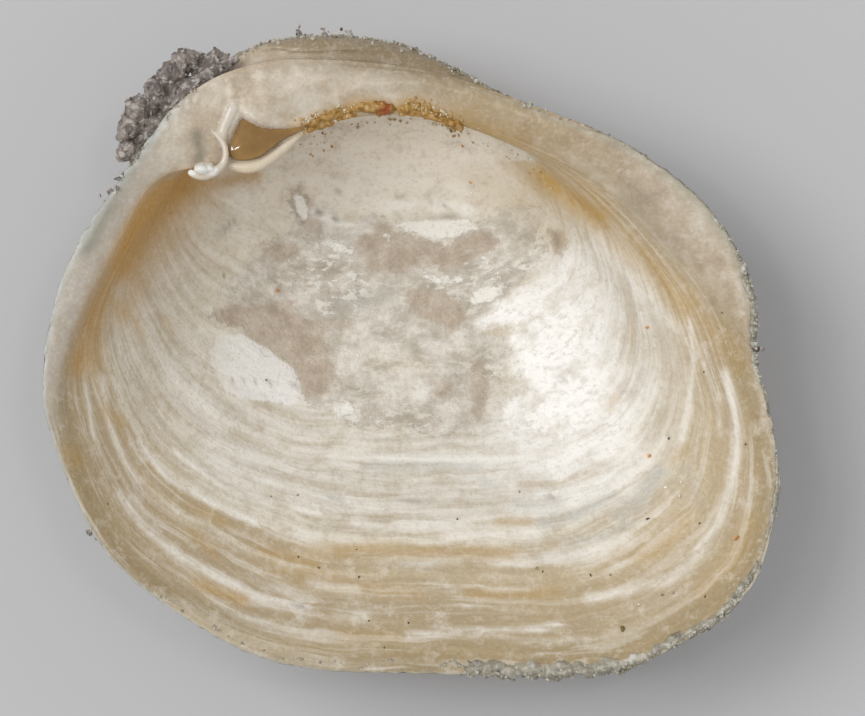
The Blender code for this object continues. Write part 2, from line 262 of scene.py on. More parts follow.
# Where the finish changes over the hollow side, as outlines of x, y in mm, made ragged in the shader
PATCHES = {
    "worn": [
        [(1.28, 1.20), (1.24, 0.97), (1.17, 0.78), (1.02, 0.62), (0.85, 0.47), (0.64, 0.34), (0.68, 0.22),
         (0.93, 0.15), (0.97, 0.05), (0.80, -0.08), (0.85, -0.20), (0.72, -0.31), (0.78, -0.52),
         (0.72, -0.73), (0.40, -0.76), (0.09, -0.73), (-0.29, -0.69), (-0.61, -0.60), (-0.69, -0.42),
         (-0.88, -0.48), (-1.05, -0.44), (-1.13, -0.20), (-1.19, -0.08), (-1.41, 0.06), (-1.58, 0.22),
         (-1.64, 0.34), (-2.02, 0.40), (-2.00, 0.47), (-1.68, 0.49), (-1.80, 0.62), (-1.62, 0.80),
         (-1.45, 1.02), (-1.32, 1.20), (-1.09, 1.27), (-1.17, 1.54), (-1.05, 1.60), (-0.77, 1.37),
         (-0.56, 1.29), (-0.37, 1.39), (-0.16, 1.27), (0.13, 1.18), (0.38, 1.13), (0.66, 1.29),
         (0.91, 1.42), (1.14, 1.44)],
    ],
    "dun": [
        [(-2.03, 0.42), (-1.70, 0.50), (-1.40, 0.52), (-1.13, 0.47), (-1.05, 0.39), (-0.84, 0.35),
         (-0.61, 0.33), (-0.84, 0.29), (-0.94, 0.25), (-0.84, 0.12), (-0.77, -0.04), (-0.76, -0.25),
         (-0.90, -0.42), (-1.05, -0.40), (-1.08, -0.27), (-1.15, -0.09), (-1.27, 0.02), (-1.45, 0.12),
         (-1.60, 0.20), (-1.72, 0.32), (-1.87, 0.37)],
        [(-0.55, 1.04), (-0.42, 1.23), (-0.25, 1.32), (-0.10, 1.21), (0.24, 1.12), (0.49, 1.14),
         (0.72, 1.23), (0.85, 1.12), (0.66, 0.99), (0.38, 0.85), (0.13, 0.91), (-0.06, 0.78), (-0.29, 0.83),
         (-0.46, 0.91)],
        [(-1.45, 1.09), (-1.32, 1.14), (-1.09, 1.09), (-1.13, 0.97), (-1.32, 0.93), (-1.43, 1.00)],
        [(-1.20, 1.63), (-1.05, 1.65), (-0.96, 1.48), (-0.84, 1.33), (-0.86, 1.21), (-1.01, 1.25),
         (-1.13, 1.37)],
        [(-0.05, 0.63), (0.19, 0.68), (0.49, 0.55), (0.57, 0.38), (0.38, 0.26), (0.17, 0.38), (0.01, 0.49)],
        [(1.37, 1.23), (1.44, 1.23), (1.48, 1.10), (1.42, 1.02), (1.38, 1.10)],
        [(0.60, -0.04), (0.72, -0.08), (0.74, -0.39), (0.68, -0.63), (0.60, -0.60), (0.62, -0.33)],
        [(0.20, -0.25), (0.40, -0.26), (0.38, -0.37), (0.22, -0.36)],
    ],
    "sheen": [
        [(-1.64, 0.23), (-1.47, 0.11), (-1.28, 0.00), (-1.15, -0.11), (-1.08, -0.27), (-1.08, -0.42),
         (-1.19, -0.48), (-1.41, -0.43), (-1.64, -0.39), (-1.80, -0.31), (-1.89, -0.14), (-1.95, 0.05),
         (-1.87, 0.22)],
    ],
    "flake": [
        [(-0.18, 1.32), (0.19, 1.36), (0.55, 1.34), (0.65, 1.27), (0.49, 1.22), (0.38, 1.14), (0.22, 1.14),
         (0.05, 1.20), (-0.12, 1.25)],
        [(-0.01, 0.88), (0.09, 0.87), (0.31, 0.77), (0.28, 0.69), (0.13, 0.77), (0.00, 0.83)],
        [(-1.14, 1.56), (-1.06, 1.58), (-1.00, 1.44), (-1.00, 1.34), (-1.06, 1.34), (-1.12, 1.44)],
        [(1.20, 0.95), (1.23, 0.92), (1.13, 0.77), (1.06, 0.79)],
        [(0.53, 0.55), (0.60, 0.64), (0.78, 0.69), (0.96, 0.70), (0.92, 0.62), (0.81, 0.57), (0.68, 0.52),
         (0.57, 0.49)],
        [(0.39, 0.79), (0.48, 0.80), (0.53, 0.75), (0.42, 0.71)],
        [(0.68, 0.98), (0.77, 0.97), (0.76, 0.91), (0.69, 0.91)],
        [(-0.84, 1.12), (-0.73, 1.14), (-0.55, 1.06), (-0.58, 1.01), (-0.77, 1.03)],
        [(-0.93, 1.12), (-0.88, 1.14), (-0.89, 1.05), (-0.93, 1.06)],
        [(0.70, 0.78), (0.91, 0.80), (0.89, 0.74), (0.72, 0.74)],
        [(-0.75, -0.48), (-0.61, -0.44), (-0.58, -0.52), (-0.71, -0.56)],
        [(-0.24, 1.21), (-0.19, 1.20), (-0.21, 1.14), (-0.26, 1.16)],
    ],
    "chalk": [
        [(1.42, 0.98), (1.28, 0.83), (1.09, 0.74), (0.90, 0.60), (0.66, 0.38), (0.55, 0.28), (0.78, 0.29),
         (1.04, 0.34), (1.23, 0.38), (1.04, 0.24), (0.93, 0.12), (1.08, 0.09), (1.00, 0.01), (1.14, -0.04),
         (0.97, -0.10), (1.04, -0.18), (1.20, -0.20), (1.10, -0.34), (0.95, -0.42), (0.86, -0.60),
         (1.05, -0.72), (1.45, -0.80), (1.85, -0.60), (2.05, -0.20), (2.10, 0.30), (1.95, 0.75),
         (1.70, 1.02)],
    ],
}

# Soft strokes: each is a path, its half width and its strength
STROKES = {
    # Amber of the thin shell in the groove under the left lip, and painted shade in that groove
    "groove_amber_and_shade": [
        ([(-2.08, 1.77), (-2.31, 1.60), (-2.50, 1.40), (-2.67, 1.16), (-2.80, 0.93)], 0.260, 1.00),
        ([(-2.80, 0.95), (-2.96, 0.64), (-3.07, 0.31), (-3.17, -0.07)], 0.140, 0.70),
        ([(-2.14, 1.78), (-1.95, 1.67), (-1.72, 1.73), (-1.51, 1.77)], 0.070, 0.75),
        ([(-2.10, 1.46), (-2.33, 1.20), (-2.56, 0.87), (-2.77, 0.45)], 0.160, 0.40),
    ],
    "ochre": [
        ([(-1.07, 2.17), (-0.88, 2.22), (-0.67, 2.32), (-0.52, 2.38)], 0.085, 0.85),
        ([(-1.02, 2.05), (-0.79, 2.09)], 0.100, 0.50),
        ([(-0.56, 2.40), (-0.37, 2.41), (-0.16, 2.38)], 0.070, 0.95),
        ([(-0.10, 2.38), (0.07, 2.40), (0.22, 2.32), (0.40, 2.22)], 0.080, 0.95),
        ([(0.40, 2.22), (0.70, 2.11), (0.97, 1.98), (1.23, 1.77)], 0.130, 0.70),
        ([(1.23, 1.77), (1.54, 1.56), (1.82, 1.35)], 0.150, 1.15),
        ([(1.69, 1.44), (1.88, 1.26)], 0.080, 1.00),
        ([(1.84, 1.30), (2.09, 1.08), (2.38, 0.80), (2.66, 0.50)], 0.150, 0.62),
        ([(2.66, 0.50), (2.97, 0.20), (3.12, -0.06)], 0.130, 0.40),
        ([(-2.14, -1.43), (-1.97, -1.49), (-1.80, -1.59)], 0.045, 0.55),
        ([(-2.10, -1.68), (-1.98, -1.80), (-1.87, -1.89)], 0.040, 0.60),
        ([(-2.04, -2.15), (-1.87, -2.23), (-1.59, -2.32)], 0.055, 0.80),
        ([(-1.41, -1.86), (-1.19, -1.93), (-0.88, -2.00)], 0.045, 0.65),
        ([(-1.34, -2.03), (-1.05, -2.12)], 0.050, 0.40),
        ([(-1.05, -1.87), (-0.58, -1.84), (-0.27, -1.83), (0.09, -1.86), (0.49, -1.86),
          (0.97, -1.88)], 0.075, 0.55),
        ([(0.85, -1.61), (1.00, -1.58), (1.16, -1.59)], 0.040, 0.60),
        ([(-1.05, -2.07), (-0.48, -2.21), (0.09, -2.27)], 0.060, 0.40),
        ([(0.57, -2.27), (0.95, -2.27), (1.42, -2.25)], 0.050, 0.60),
        ([(-0.65, -2.65), (-0.10, -2.67)], 0.060, 0.35),
        ([(-3.26, -0.88), (-3.17, -1.00)], 0.060, 0.60),
        ([(-2.92, -0.50), (-2.79, -0.63)], 0.070, 0.60),
        ([(-2.88, 0.55), (-2.75, 0.38)], 0.050, 0.40),
        ([(-2.39, 0.38), (-2.31, 0.26)], 0.035, 0.45),
        ([(-2.65, 0.36), (-2.58, 0.17)], 0.035, 0.45),
        ([(1.92, -0.50), (2.01, -0.39)], 0.035, 0.55),
        ([(2.19, -1.93), (2.45, -1.79), (2.66, -1.55)], 0.060, 0.45),
        ([(2.53, -1.00), (2.66, -0.88)], 0.050, 0.45),
        ([(2.76, -2.21), (3.10, -1.93), (3.25, -1.55)], 0.090, 0.35),
        ([(0.09, -0.08), (-0.39, -0.04)], 0.100, 0.15),
    ],
    # White chalk over the lit lower right wall, partly a painted sheen where the light falls
    "chalk_and_painted_sheen": [
        ([(1.55, 0.85), (1.48, 0.45), (1.42, -0.12), (1.62, -0.60)], 0.300, 0.90),
        ([(1.04, -0.79), (1.42, -1.00), (1.90, -0.79), (2.05, -0.30)], 0.280, 0.75),
        ([(0.57, -1.07), (1.23, -1.36)], 0.220, 0.55),
        ([(1.42, -1.36), (2.00, -1.17), (2.38, -0.79)], 0.180, 0.40),
    ],
    "white": [
        ([(-2.60, -0.84), (-2.38, -1.12), (-2.16, -1.27), (-1.80, -1.45), (-1.47, -1.59)], 0.018, 0.95),
        ([(-2.27, -0.90), (-2.02, -1.09), (-1.69, -1.25), (-1.25, -1.45), (-0.87, -1.50)], 0.018, 0.90),
        ([(-1.80, -1.00), (-1.42, -1.18), (-1.00, -1.27)], 0.014, 0.70),
        ([(-3.11, 0.26), (-3.11, -0.21), (-3.03, -0.76)], 0.020, 0.60),
        ([(-2.96, -0.21), (-2.84, -0.79), (-2.58, -1.36)], 0.030, 0.55),
        ([(-2.79, -1.31), (-2.52, -1.64), (-2.19, -1.91), (-1.80, -2.13), (-1.47, -2.30),
          (-1.03, -2.40)], 0.050, 0.85),
        ([(-1.09, -1.85), (-0.77, -1.87)], 0.030, 0.90),
        ([(-1.09, -1.70), (-0.90, -1.72)], 0.050, 0.75),
        ([(-0.96, -2.15), (-0.71, -2.20), (-0.50, -2.22)], 0.040, 0.95),
        ([(-0.77, -0.94), (-0.10, -0.98), (0.57, -1.00), (1.23, -0.94), (1.71, -0.79)], 0.026, 0.80),
        ([(0.36, -1.73), (0.66, -1.71), (0.97, -1.68), (1.21, -1.69)], 0.060, 0.90),
        ([(-1.05, -1.80), (-0.29, -1.75), (0.47, -1.80), (0.95, -1.79)], 0.022, 0.80),
        ([(-0.13, -1.97), (0.48, -1.97)], 0.036, 0.55),
        ([(0.79, -1.97), (1.09, -1.95)], 0.045, 0.75),
        ([(1.29, -1.93), (1.71, -1.88), (2.09, -1.74)], 0.050, 0.55),
        ([(0.74, -2.24), (1.14, -2.21)], 0.022, 0.60),
        ([(-0.72, -2.49), (-0.43, -2.48)], 0.050, 0.45),
        ([(-0.04, -2.65), (0.47, -2.62), (1.23, -2.60), (1.45, -2.54)], 0.026, 0.90),
        ([(3.01, -0.15), (3.10, -0.51), (3.11, -0.92), (3.05, -1.28), (2.95, -1.58),
          (2.75, -1.85)], 0.045, 0.90),
        ([(2.84, -1.76), (2.69, -1.94), (2.48, -2.12), (2.12, -2.23), (1.71, -2.32)], 0.045, 0.85),
        ([(2.67, 0.36), (2.71, 0.00), (2.70, -0.24), (2.60, -0.80)], 0.022, 0.80),
        ([(2.81, -0.06), (2.94, -0.39), (2.97, -0.75)], 0.022, 0.70),
        ([(2.40, -0.24), (2.20, -0.65), (2.07, -0.92)], 0.035, 0.60),
        ([(1.42, -1.36), (2.00, -1.26), (2.28, -0.98)], 0.020, 0.55),
        ([(1.04, -1.47), (1.61, -1.40), (2.19, -1.17), (2.45, -0.79)], 0.020, 0.60),
        ([(-0.10, 1.49), (0.28, 1.50), (0.60, 1.44)], 0.045, 0.95),
        ([(-0.10, 1.38), (0.38, 1.40), (0.62, 1.39)], 0.030, 0.90),
        ([(-0.96, 1.42), (-0.67, 1.29), (-0.39, 1.25)], 0.045, 0.90),
        ([(-0.77, 1.58), (-0.29, 1.50), (0.00, 1.44)], 0.070, 0.70),
        ([(-0.55, 1.75), (0.05, 1.72), (0.55, 1.62)], 0.080, 0.45),
        ([(-1.64, 0.76), (-1.47, 0.73), (-1.34, 0.65)], 0.010, 0.80),
        ([(-0.05, 0.10), (-0.30, 0.13), (-0.52, 0.02), (-0.50, -0.16), (-0.25, -0.24),
          (0.05, -0.18)], 0.090, 0.55),
        ([(0.20, 0.10), (0.30, -0.15), (0.10, -0.36), (-0.30, -0.42)], 0.080, 0.50),
        ([(-0.95, 1.00), (-0.75, 1.08), (-0.50, 0.96)], 0.070, 0.55),
        # A painted highlight: the lit top of a low ridge that has no relief here
        ([(-1.64, -0.25), (-1.36, -0.27), (-1.09, -0.31)], 0.030, 0.75),
        ([(1.84, 1.12), (2.19, 0.64), (2.57, 0.26), (2.76, 0.01)], 0.050, 0.45),
        ([(-2.12, 1.77), (-2.00, 1.79), (-1.87, 1.77)], 0.060, 0.90),
    ],
    "grey": [
        ([(2.40, -1.10), (2.22, -1.36), (2.01, -1.52)], 0.080, 0.90),
        ([(1.95, -1.32), (1.60, -1.52), (1.25, -1.60)], 0.050, 0.80),
        ([(1.50, -1.78), (1.85, -1.72), (2.12, -1.60)], 0.035, 0.70),
        ([(1.24, -1.94), (1.68, -1.89)], 0.050, 0.45),
        ([(1.04, -1.43), (1.42, -1.41)], 0.050, 0.60),
        ([(-0.43, -1.05), (0.09, -1.03), (0.66, -1.07)], 0.060, 0.55),
        ([(-0.72, 0.50), (-0.46, 0.55), (-0.22, 0.62)], 0.100, 0.60),
        ([(-0.80, -1.34), (-0.65, -1.39)], 0.028, 0.75),
        ([(0.70, -1.20), (0.81, -1.24)], 0.050, 0.50),
        ([(-0.10, -2.00), (0.28, -1.99)], 0.040, 0.40),
        ([(2.76, -1.36), (2.66, -1.07)], 0.080, 0.30),
        ([(2.07, 1.54), (2.28, 1.29), (2.45, 1.00)], 0.160, 0.20),
        # Painted shade, grey, in the hollow inside the tooth's hook
        ([(-2.04, 2.11), (-1.97, 1.98), (-2.02, 1.88)], 0.060, 0.90),
        ([(-1.88, 1.20), (-1.74, 1.31)], 0.035, 0.75),
        ([(-2.45, 2.15), (-2.67, 1.83), (-2.90, 1.40), (-3.10, 1.00)], 0.090, 0.90),
    ],
    "tan": [
        ([(-2.48, 1.31), (-2.86, 0.55), (-3.11, -0.21), (-3.09, -0.88), (-2.77, -1.55),
          (-2.20, -2.12)], 0.300, 0.55),
        ([(-2.00, 1.21), (-2.34, 0.55), (-2.48, -0.02)], 0.200, 0.35),
        ([(-2.39, -2.40), (-1.43, -2.74), (-0.10, -2.83), (1.04, -2.83)], 0.120, 0.80),
        ([(1.80, -2.69), (2.66, -2.31), (3.23, -1.55), (3.38, -0.79)], 0.140, 0.55),
        ([(1.00, -2.42), (1.90, -2.28), (2.60, -1.78), (3.00, -1.10), (3.15, -0.40)], 0.300, 0.68),
        ([(2.52, 0.15), (2.60, -0.20), (2.60, -0.50), (2.45, -1.00)], 0.250, 0.60),
        ([(0.60, 1.75), (1.05, 1.52), (1.40, 1.25)], 0.200, 0.55),
        ([(-2.60, 0.30), (-2.50, -0.40), (-2.20, -1.00)], 0.250, 0.40),
        ([(-1.80, 1.10), (-2.10, 0.40)], 0.200, 0.35),
    ],
    "dark": [
        ([(1.40, 1.20), (1.43, 1.09)], 0.030, 0.55),
        ([(-1.01, 1.46), (-0.84, 1.39), (-0.66, 1.32)], 0.012, 0.90),
        ([(-1.15, 1.54), (-1.11, 1.40), (-1.05, 1.32)], 0.010, 0.70),
        ([(-0.16, 1.39), (0.19, 1.37), (0.57, 1.38)], 0.011, 0.70),
        ([(-0.14, 1.56), (0.13, 1.54), (0.36, 1.47)], 0.010, 0.55),
        ([(-0.73, 1.63), (-0.66, 1.59)], 0.018, 0.60),
        ([(-1.83, 1.20), (-1.76, 1.29), (-1.71, 1.33)], 0.012, 0.95),
        ([(-1.85, 0.78), (-1.81, 0.80)], 0.013, 0.90),
        ([(-1.64, 0.57), (-1.62, 0.56)], 0.012, 0.90),
        ([(-1.80, 1.03), (-1.76, 1.06)], 0.010, 0.80),
        ([(-1.05, 0.35), (-0.63, 0.33)], 0.010, 0.55),
        ([(-2.03, 0.41), (-1.70, 0.43)], 0.012, 0.50),
        # A painted shadow: the shaded foot of the low ridge whose painted highlight is among the white
        # strokes
        ([(-1.76, -0.22), (-1.41, -0.25), (-1.10, -0.28)], 0.008, 0.60),
        ([(-1.66, -0.40), (-1.63, -0.41)], 0.014, 0.60),
        ([(-1.46, -0.39), (-1.44, -0.40)], 0.014, 0.60),
        ([(1.42, -0.31), (1.55, -0.13)], 0.012, 0.70),
        ([(-1.05, -1.30), (-0.60, -1.34), (0.02, -1.39), (0.66, -1.36), (1.40, -1.35)], 0.008, 0.60),
        ([(-1.16, -2.38), (-1.01, -2.40)], 0.016, 0.90),
        ([(-2.39, -0.65), (-2.35, -0.71)], 0.014, 0.60),
    ],
    "crumbly": [
        ([(-1.05, 0.83), (-0.77, 0.91), (-0.58, 0.64), (-0.77, 0.55)], 0.220, 1.00),
        ([(0.28, 0.74), (0.85, 0.85), (1.23, 0.91)], 0.160, 0.80),
        ([(0.09, 0.55), (0.57, 0.45)], 0.140, 0.50),
        ([(0.85, -0.21), (1.23, -0.40), (1.04, -0.69)], 0.220, 1.00),
        ([(-0.58, -0.60), (0.28, -0.69)], 0.140, 0.70),
        ([(-0.10, 0.17), (-0.48, 0.07)], 0.200, 0.40),
    ],
}

# Single specks stuck in the hollow: place, radius and tone, 0 dark, 0.4 ochre, 0.7 orange, 1 clear
SPECKS = [
    (2.49, -0.78, 0.020, 0.05), (3.20, -0.83, 0.016, 0.10), (2.28, -1.55, 0.018, 0.05),
    (2.77, -1.59, 0.016, 0.05), (1.73, -2.09, 0.018, 0.10), (2.51, -2.25, 0.016, 0.10),
    (2.81, -2.28, 0.014, 0.15), (3.11, -1.72, 0.034, 0.55), (2.02, -2.59, 0.034, 0.35),
    (2.30, -0.95, 0.022, 0.70), (2.28, 0.29, 0.024, 0.65), (2.60, -1.20, 0.016, 1.00),
    (2.59, -1.33, 0.024, 1.00), (2.45, -1.25, 0.014, 1.00), (2.18, -2.36, 0.016, 1.00),
    (0.50, 2.05, 0.016, 0.50), (0.58, 1.70, 0.022, 0.70), (0.59, 1.60, 0.014, 1.00),
    (-0.77, 2.05, 0.020, 0.55), (-0.97, 1.97, 0.018, 0.60), (0.11, 2.19, 0.018, 1.00),
    (-1.30, 0.65, 0.024, 0.60), (-1.41, -0.22, 0.018, 0.15), (-0.52, -1.85, 0.014, 0.20),
    (-0.50, -2.11, 0.016, 0.12), (1.21, -2.03, 0.018, 0.15), (1.27, -2.06, 0.014, 0.30),
    (1.92, -2.09, 0.014, 0.12), (-0.02, -2.54, 0.014, 0.10), (-0.40, -2.52, 0.014, 0.25),
    (-1.09, -1.33, 0.014, 0.20), (-1.35, -1.34, 0.014, 0.20), (-2.89, -1.40, 0.016, 0.20),
    (-1.08, -1.92, 0.014, 0.10), (-0.88, -2.02, 0.018, 0.25), (1.05, -1.30, 0.014, 0.30),
    (-2.31, 1.39, 0.014, 0.70), (-1.49, -1.10, 0.014, 1.00), (2.81, -0.14, 0.014, 0.15),
    (2.97, 0.43, 0.014, 0.20), (2.41, -2.27, 0.020, 0.35), (0.45, -1.56, 0.012, 0.15),
    (-0.25, -2.77, 0.014, 0.15),
]

# Grains are angular and of a few kinds. Their centres stand off what they lie on or stick to by a share of
# their radius.
GRAIN_KINDS = 10
GRAIN_CORNERS = 15
GRAIN_STRETCH = (0.75, 1.25)
LYING_STAND_OFF = 0.3
STUCK_STAND_OFF = 0.2

# The sand clump: a fillet that ties it to the shell, its roughness, its tone, and the grains all over it
CLUMP_FILL = [
    (-2.66, 1.86, -0.20, 0.075),
    (-2.50, 2.08, -0.18, 0.090),
    (-2.34, 2.26, -0.16, 0.095),
    (-2.18, 2.46, -0.15, 0.095),
    (-2.04, 2.62, -0.14, 0.085),
    (-1.86, 2.76, -0.13, 0.060),
    (-1.66, 2.84, -0.13, 0.040),
]
CLUMP_CRUMBLE = dict(voxel=0.016, fineness=7.0, depth=0.060)
CLUMP_TONE = dict(middle=0.45, swing=0.35, fineness=5.0)
CLUMP_GRAINS = 260
CLUMP_GRAIN_SIZES = (0.016, 0.050)
CLUMP_GRAIN_SINK = 0.25

# Chips on each larger single grain: how many, their spread and their sizes, as shares of its radius
CHIPS = 6
CHIP_SPREAD = 0.6
CHIP_SIZES = (0.3, 0.6)

# Crumbs of ligament: a path, how many, their radii, and how far they spread
CRUMB_PATHS = [
    ([(-1.05, 2.20), (-0.90, 2.25), (-0.70, 2.31), (-0.55, 2.35)], 130, (0.008, 0.024), 0.045),
    ([(-0.50, 2.34), (-0.20, 2.30), (-0.06, 2.34)], 20, (0.008, 0.020), 0.035),
    ([(-0.05, 2.37), (0.10, 2.38), (0.25, 2.32), (0.42, 2.22)], 110, (0.008, 0.026), 0.045),
    ([(0.42, 2.22), (0.70, 2.10), (1.00, 1.95), (1.30, 1.70)], 30, (0.006, 0.014), 0.050),
    ([(-1.02, 2.04), (-0.80, 2.10)], 10, (0.008, 0.016), 0.060),
]

# The crumbly skin of crust round the shell's outline: degrees clockwise from straight up, and its radius
# there. It is taller than wide, set in from the outline and down by shares of its radius, and dropped a
# little more.
CRUST_SKIN = [
    (0, 0.002), (26, 0.002), (34, 0.010), (60, 0.012), (70, 0.020), (77, 0.036), (87, 0.036), (93, 0.016),
    (104, 0.012), (111, 0.030), (117, 0.018), (123, 0.038), (134, 0.048), (142, 0.042), (148, 0.070),
    (166, 0.070), (172, 0.034), (178, 0.010), (186, 0.002), (360, 0.002),
]
CRUST_SKIN_STEPS = 1500
CRUST_SKIN_SIDES = 10
CRUST_SKIN_TALL = 1.3
CRUST_SKIN_INSET = 0.45
CRUST_SKIN_SINK = 0.4
CRUST_SKIN_DROP = 0.01
CRUST_SKIN_LUMPS = dict(fineness=9.0, share=0.9)
CRUST_SKIN_TONE = dict(middle=0.40, swing=0.5, fineness=3.0)
OUTLINE_BINS = 600
OUTLINE_SMOOTHINGS = 8

# Crumbs stick to the skin of crust where its radius is over the thinnest, and to the shell elsewhere: from
# and to in degrees, how many, smallest and largest radius, and how far they spread up and down
CRUST_SKIN_THINNEST = 0.01
CRUST = [
    (-34, 26, 520, 0.010, 0.036, 0.09),
    (24, 66, 150, 0.006, 0.018, 0.05),
    (66, 96, 200, 0.010, 0.030, 0.05),
    (96, 120, 90, 0.006, 0.018, 0.04),
    (120, 175, 380, 0.010, 0.032, 0.05),
    (175, 230, 170, 0.006, 0.018, 0.04),
    (230, 300, 60, 0.004, 0.010, 0.04),
    (300, 326, 80, 0.008, 0.024, 0.08),
]
CRUST_CRUMB_TONES = (0.20, 0.85)
CRUST_CRUMB_REACH = (-0.6, 1.2)

# The studio: the floor's size in metres, each light's name, azimuth, elevation, distance, size and power,
# and the surround
FLOOR_SIZE = 0.4
FLOOR_GREY = (0.50, 0.50, 0.51, 1)
LIGHTS = [
    ("key", 249, 54, 0.30, 0.16, 0.42),
    ("glint_left", 262, 75, 0.30, 0.035, 0.045),
    ("glint_top", 125, 77, 0.30, 0.035, 0.040),
]
SURROUND_WHITE = (1, 1, 1, 1)
SURROUND_STRENGTH = 0.60

# The picture's frame and how many of its pixels make a millimetre
PICTURE_WIDTH = 865
PICTURE_CENTRE = (432.5, 358.0)
SHELL_PIXEL = (410.5, 357.5)
PIXELS_PER_MM = 105.0
LENS = 300.0
CLIP_START = 0.001
CLIP_END = 10.0


def tint(red, green, blue):
    """A colour as the eye names it, 0 to 255, as the shader takes it."""
    levels = [value / 255 for value in (red, green, blue)]
    return (*(v / 12.92 if v <= 0.04045 else ((v + 0.055) / 1.055) ** 2.4 for v in levels), 1.0)


# Colours of the growth zones from the umbo to the margin. The two nearest the umbo are painted light,
# made paler to lift the shade under the hinge plate
SHELL_ZONES_AND_PAINTED_LIGHT = [
    (0.20, tint(250, 240, 222)),
    (0.28, tint(240, 230, 214)),
    (0.38, tint(214, 205, 188)),
    (0.52, tint(208, 200, 184)),
    (0.68, tint(208, 202, 190)),
    (0.77, tint(214, 208, 195)),
    (0.805, tint(204, 193, 170)),
    (0.82, tint(180, 161, 128)),
    (0.85, tint(192, 175, 144)),
    (0.90, tint(172, 154, 123)),
    (0.94, tint(172, 154, 122)),
    (0.97, tint(148, 129, 92)),
    (1.0, tint(140, 122, 88)),
]

# Patterns along the growth rings: fineness across them, drift along them, detail and roughness of the noise
GROWTH_PATTERNS = {
    "bands": (30.0, 0.35, 3.0, 0.58),
    "lines": (64.0, 0.70, 2.5, 0.55),
    "threads": (112.0, 0.80, 2.0, 0.50),
    "blotches": (20.0, 3.4, 4.0, 0.66),
    "crumbs": (95.0, 8.0, 3.0, 0.60),
}

# Streaks over the zones, in order: pattern, colour, where in the pattern they start and are full, strength
SHELL_STREAKS = [
    ("bands", tint(234, 228, 215), 0.52, 0.70, 0.42),
    ("bands", tint(180, 158, 122), 0.47, 0.30, 0.45),
    ("lines", tint(240, 236, 228), 0.52, 0.64, 0.42),
    ("lines", tint(166, 145, 112), 0.48, 0.36, 0.34),
    ("threads", tint(236, 231, 220), 0.54, 0.66, 0.34),
    ("threads", tint(166, 149, 120), 0.46, 0.34, 0.34),
    ("blotches", tint(176, 160, 134), 0.46, 0.30, 0.34),
    ("blotches", tint(238, 233, 223), 0.55, 0.70, 0.30),
]

# Stains over them, by the name of their strokes: colour, strength, and how much they break up. The
# groove's is partly painted shade, and the dark strokes hold one painted shadow line.
SHELL_STAINS = [
    ("tan", tint(184, 163, 125), 0.60, 0.40),
    ("grey", tint(176, 175, 168), 0.80, 0.35),
    ("white", tint(240, 236, 227), 0.90, 0.50),
    ("ochre", tint(182, 144, 70), 0.84, 0.35),
    ("groove_amber_and_shade", tint(190, 144, 66), 1.00, 0.15),
    ("dark", tint(118, 104, 86), 0.85, 0.30),
]

# The same where they reach over the lip
LIP_STAINS = [
    ("ochre", tint(184, 144, 62), 0.95, 0.30),
    ("white", tint(218, 211, 199), 0.80, 0.30),
    # Grey: grey patches of the lip, and painted shade in the hollow inside the tooth's hook
    ("grey", tint(124, 124, 110), 0.80, 0.30),
]

# Specks in a colour: fineness, colour and share of the pale ones and of the dark ones, and roughness
SHELL_SPECKS = (6.0, tint(234, 229, 219), 0.34, tint(176, 158, 132), 0.34, 0.72)
SHELL_GRIT = (22.0, tint(236, 231, 221), 0.13, tint(150, 134, 110), 0.22, 0.72)
LIP_SPECKS = [
    (7.0, tint(212, 203, 190), 0.26, tint(164, 148, 126), 0.28),
    (26.0, tint(222, 214, 202), 0.22, tint(156, 140, 118), 0.22),
]
THREAD_SPECKS = (30.0, tint(206, 184, 140), 0.40, tint(112, 76, 30), 0.40)
SAND_SPECKS = (14.0, tint(210, 205, 197), 0.55, tint(84, 76, 68), 0.45)

CHALK_WHITE = tint(246, 244, 240)
CHALK_GAP = tint(186, 178, 164)
WORN_TONES = [(0.34, tint(168, 158, 142)), (0.50, tint(192, 184, 170)), (0.64, tint(218, 212, 201))]
WORN_CRUMB = tint(226, 222, 212)
WORN_GAP = tint(156, 142, 124)
DUN_TONES = [(0.36, tint(160, 142, 122)), (0.50, tint(178, 160, 140)), (0.66, tint(194, 180, 163))]
SHEEN = tint(234, 232, 228)
FLAKE = tint(236, 232, 223)
LIP_CLOUDS = [
    (0.34, tint(164, 147, 126)),
    (0.46, tint(180, 163, 140)),
    (0.56, tint(190, 176, 155)),
    (0.68, tint(206, 196, 180)),
]
LIP_LEFT = tint(178, 174, 166)
LIP_RIGHT = tint(164, 138, 92)
LIP_RIM = tint(120, 98, 58)
EDGE_LEFT = tint(186, 192, 188)
EDGE_RIGHT = tint(164, 160, 144)
TOOTH_COLOUR = tint(206, 197, 184)
RIDGE_COLOUR = tint(216, 202, 179)
KNOB_COLOUR = tint(226, 224, 217)
GUM_TONES = (tint(126, 90, 28), tint(142, 106, 42))
THREAD_TONES = [
    (0.32, tint(124, 86, 30)),
    (0.46, tint(154, 112, 44)),
    (0.58, tint(172, 134, 68)),
    (0.70, tint(192, 164, 114)),
]
RED_LUMP_COLOUR = tint(146, 70, 18)
CRUMB_TONES = [
    (0.0, tint(160, 120, 60)),
    (0.3, tint(184, 148, 86)),
    (0.6, tint(200, 176, 134)),
    (0.85, tint(214, 202, 178)),
]
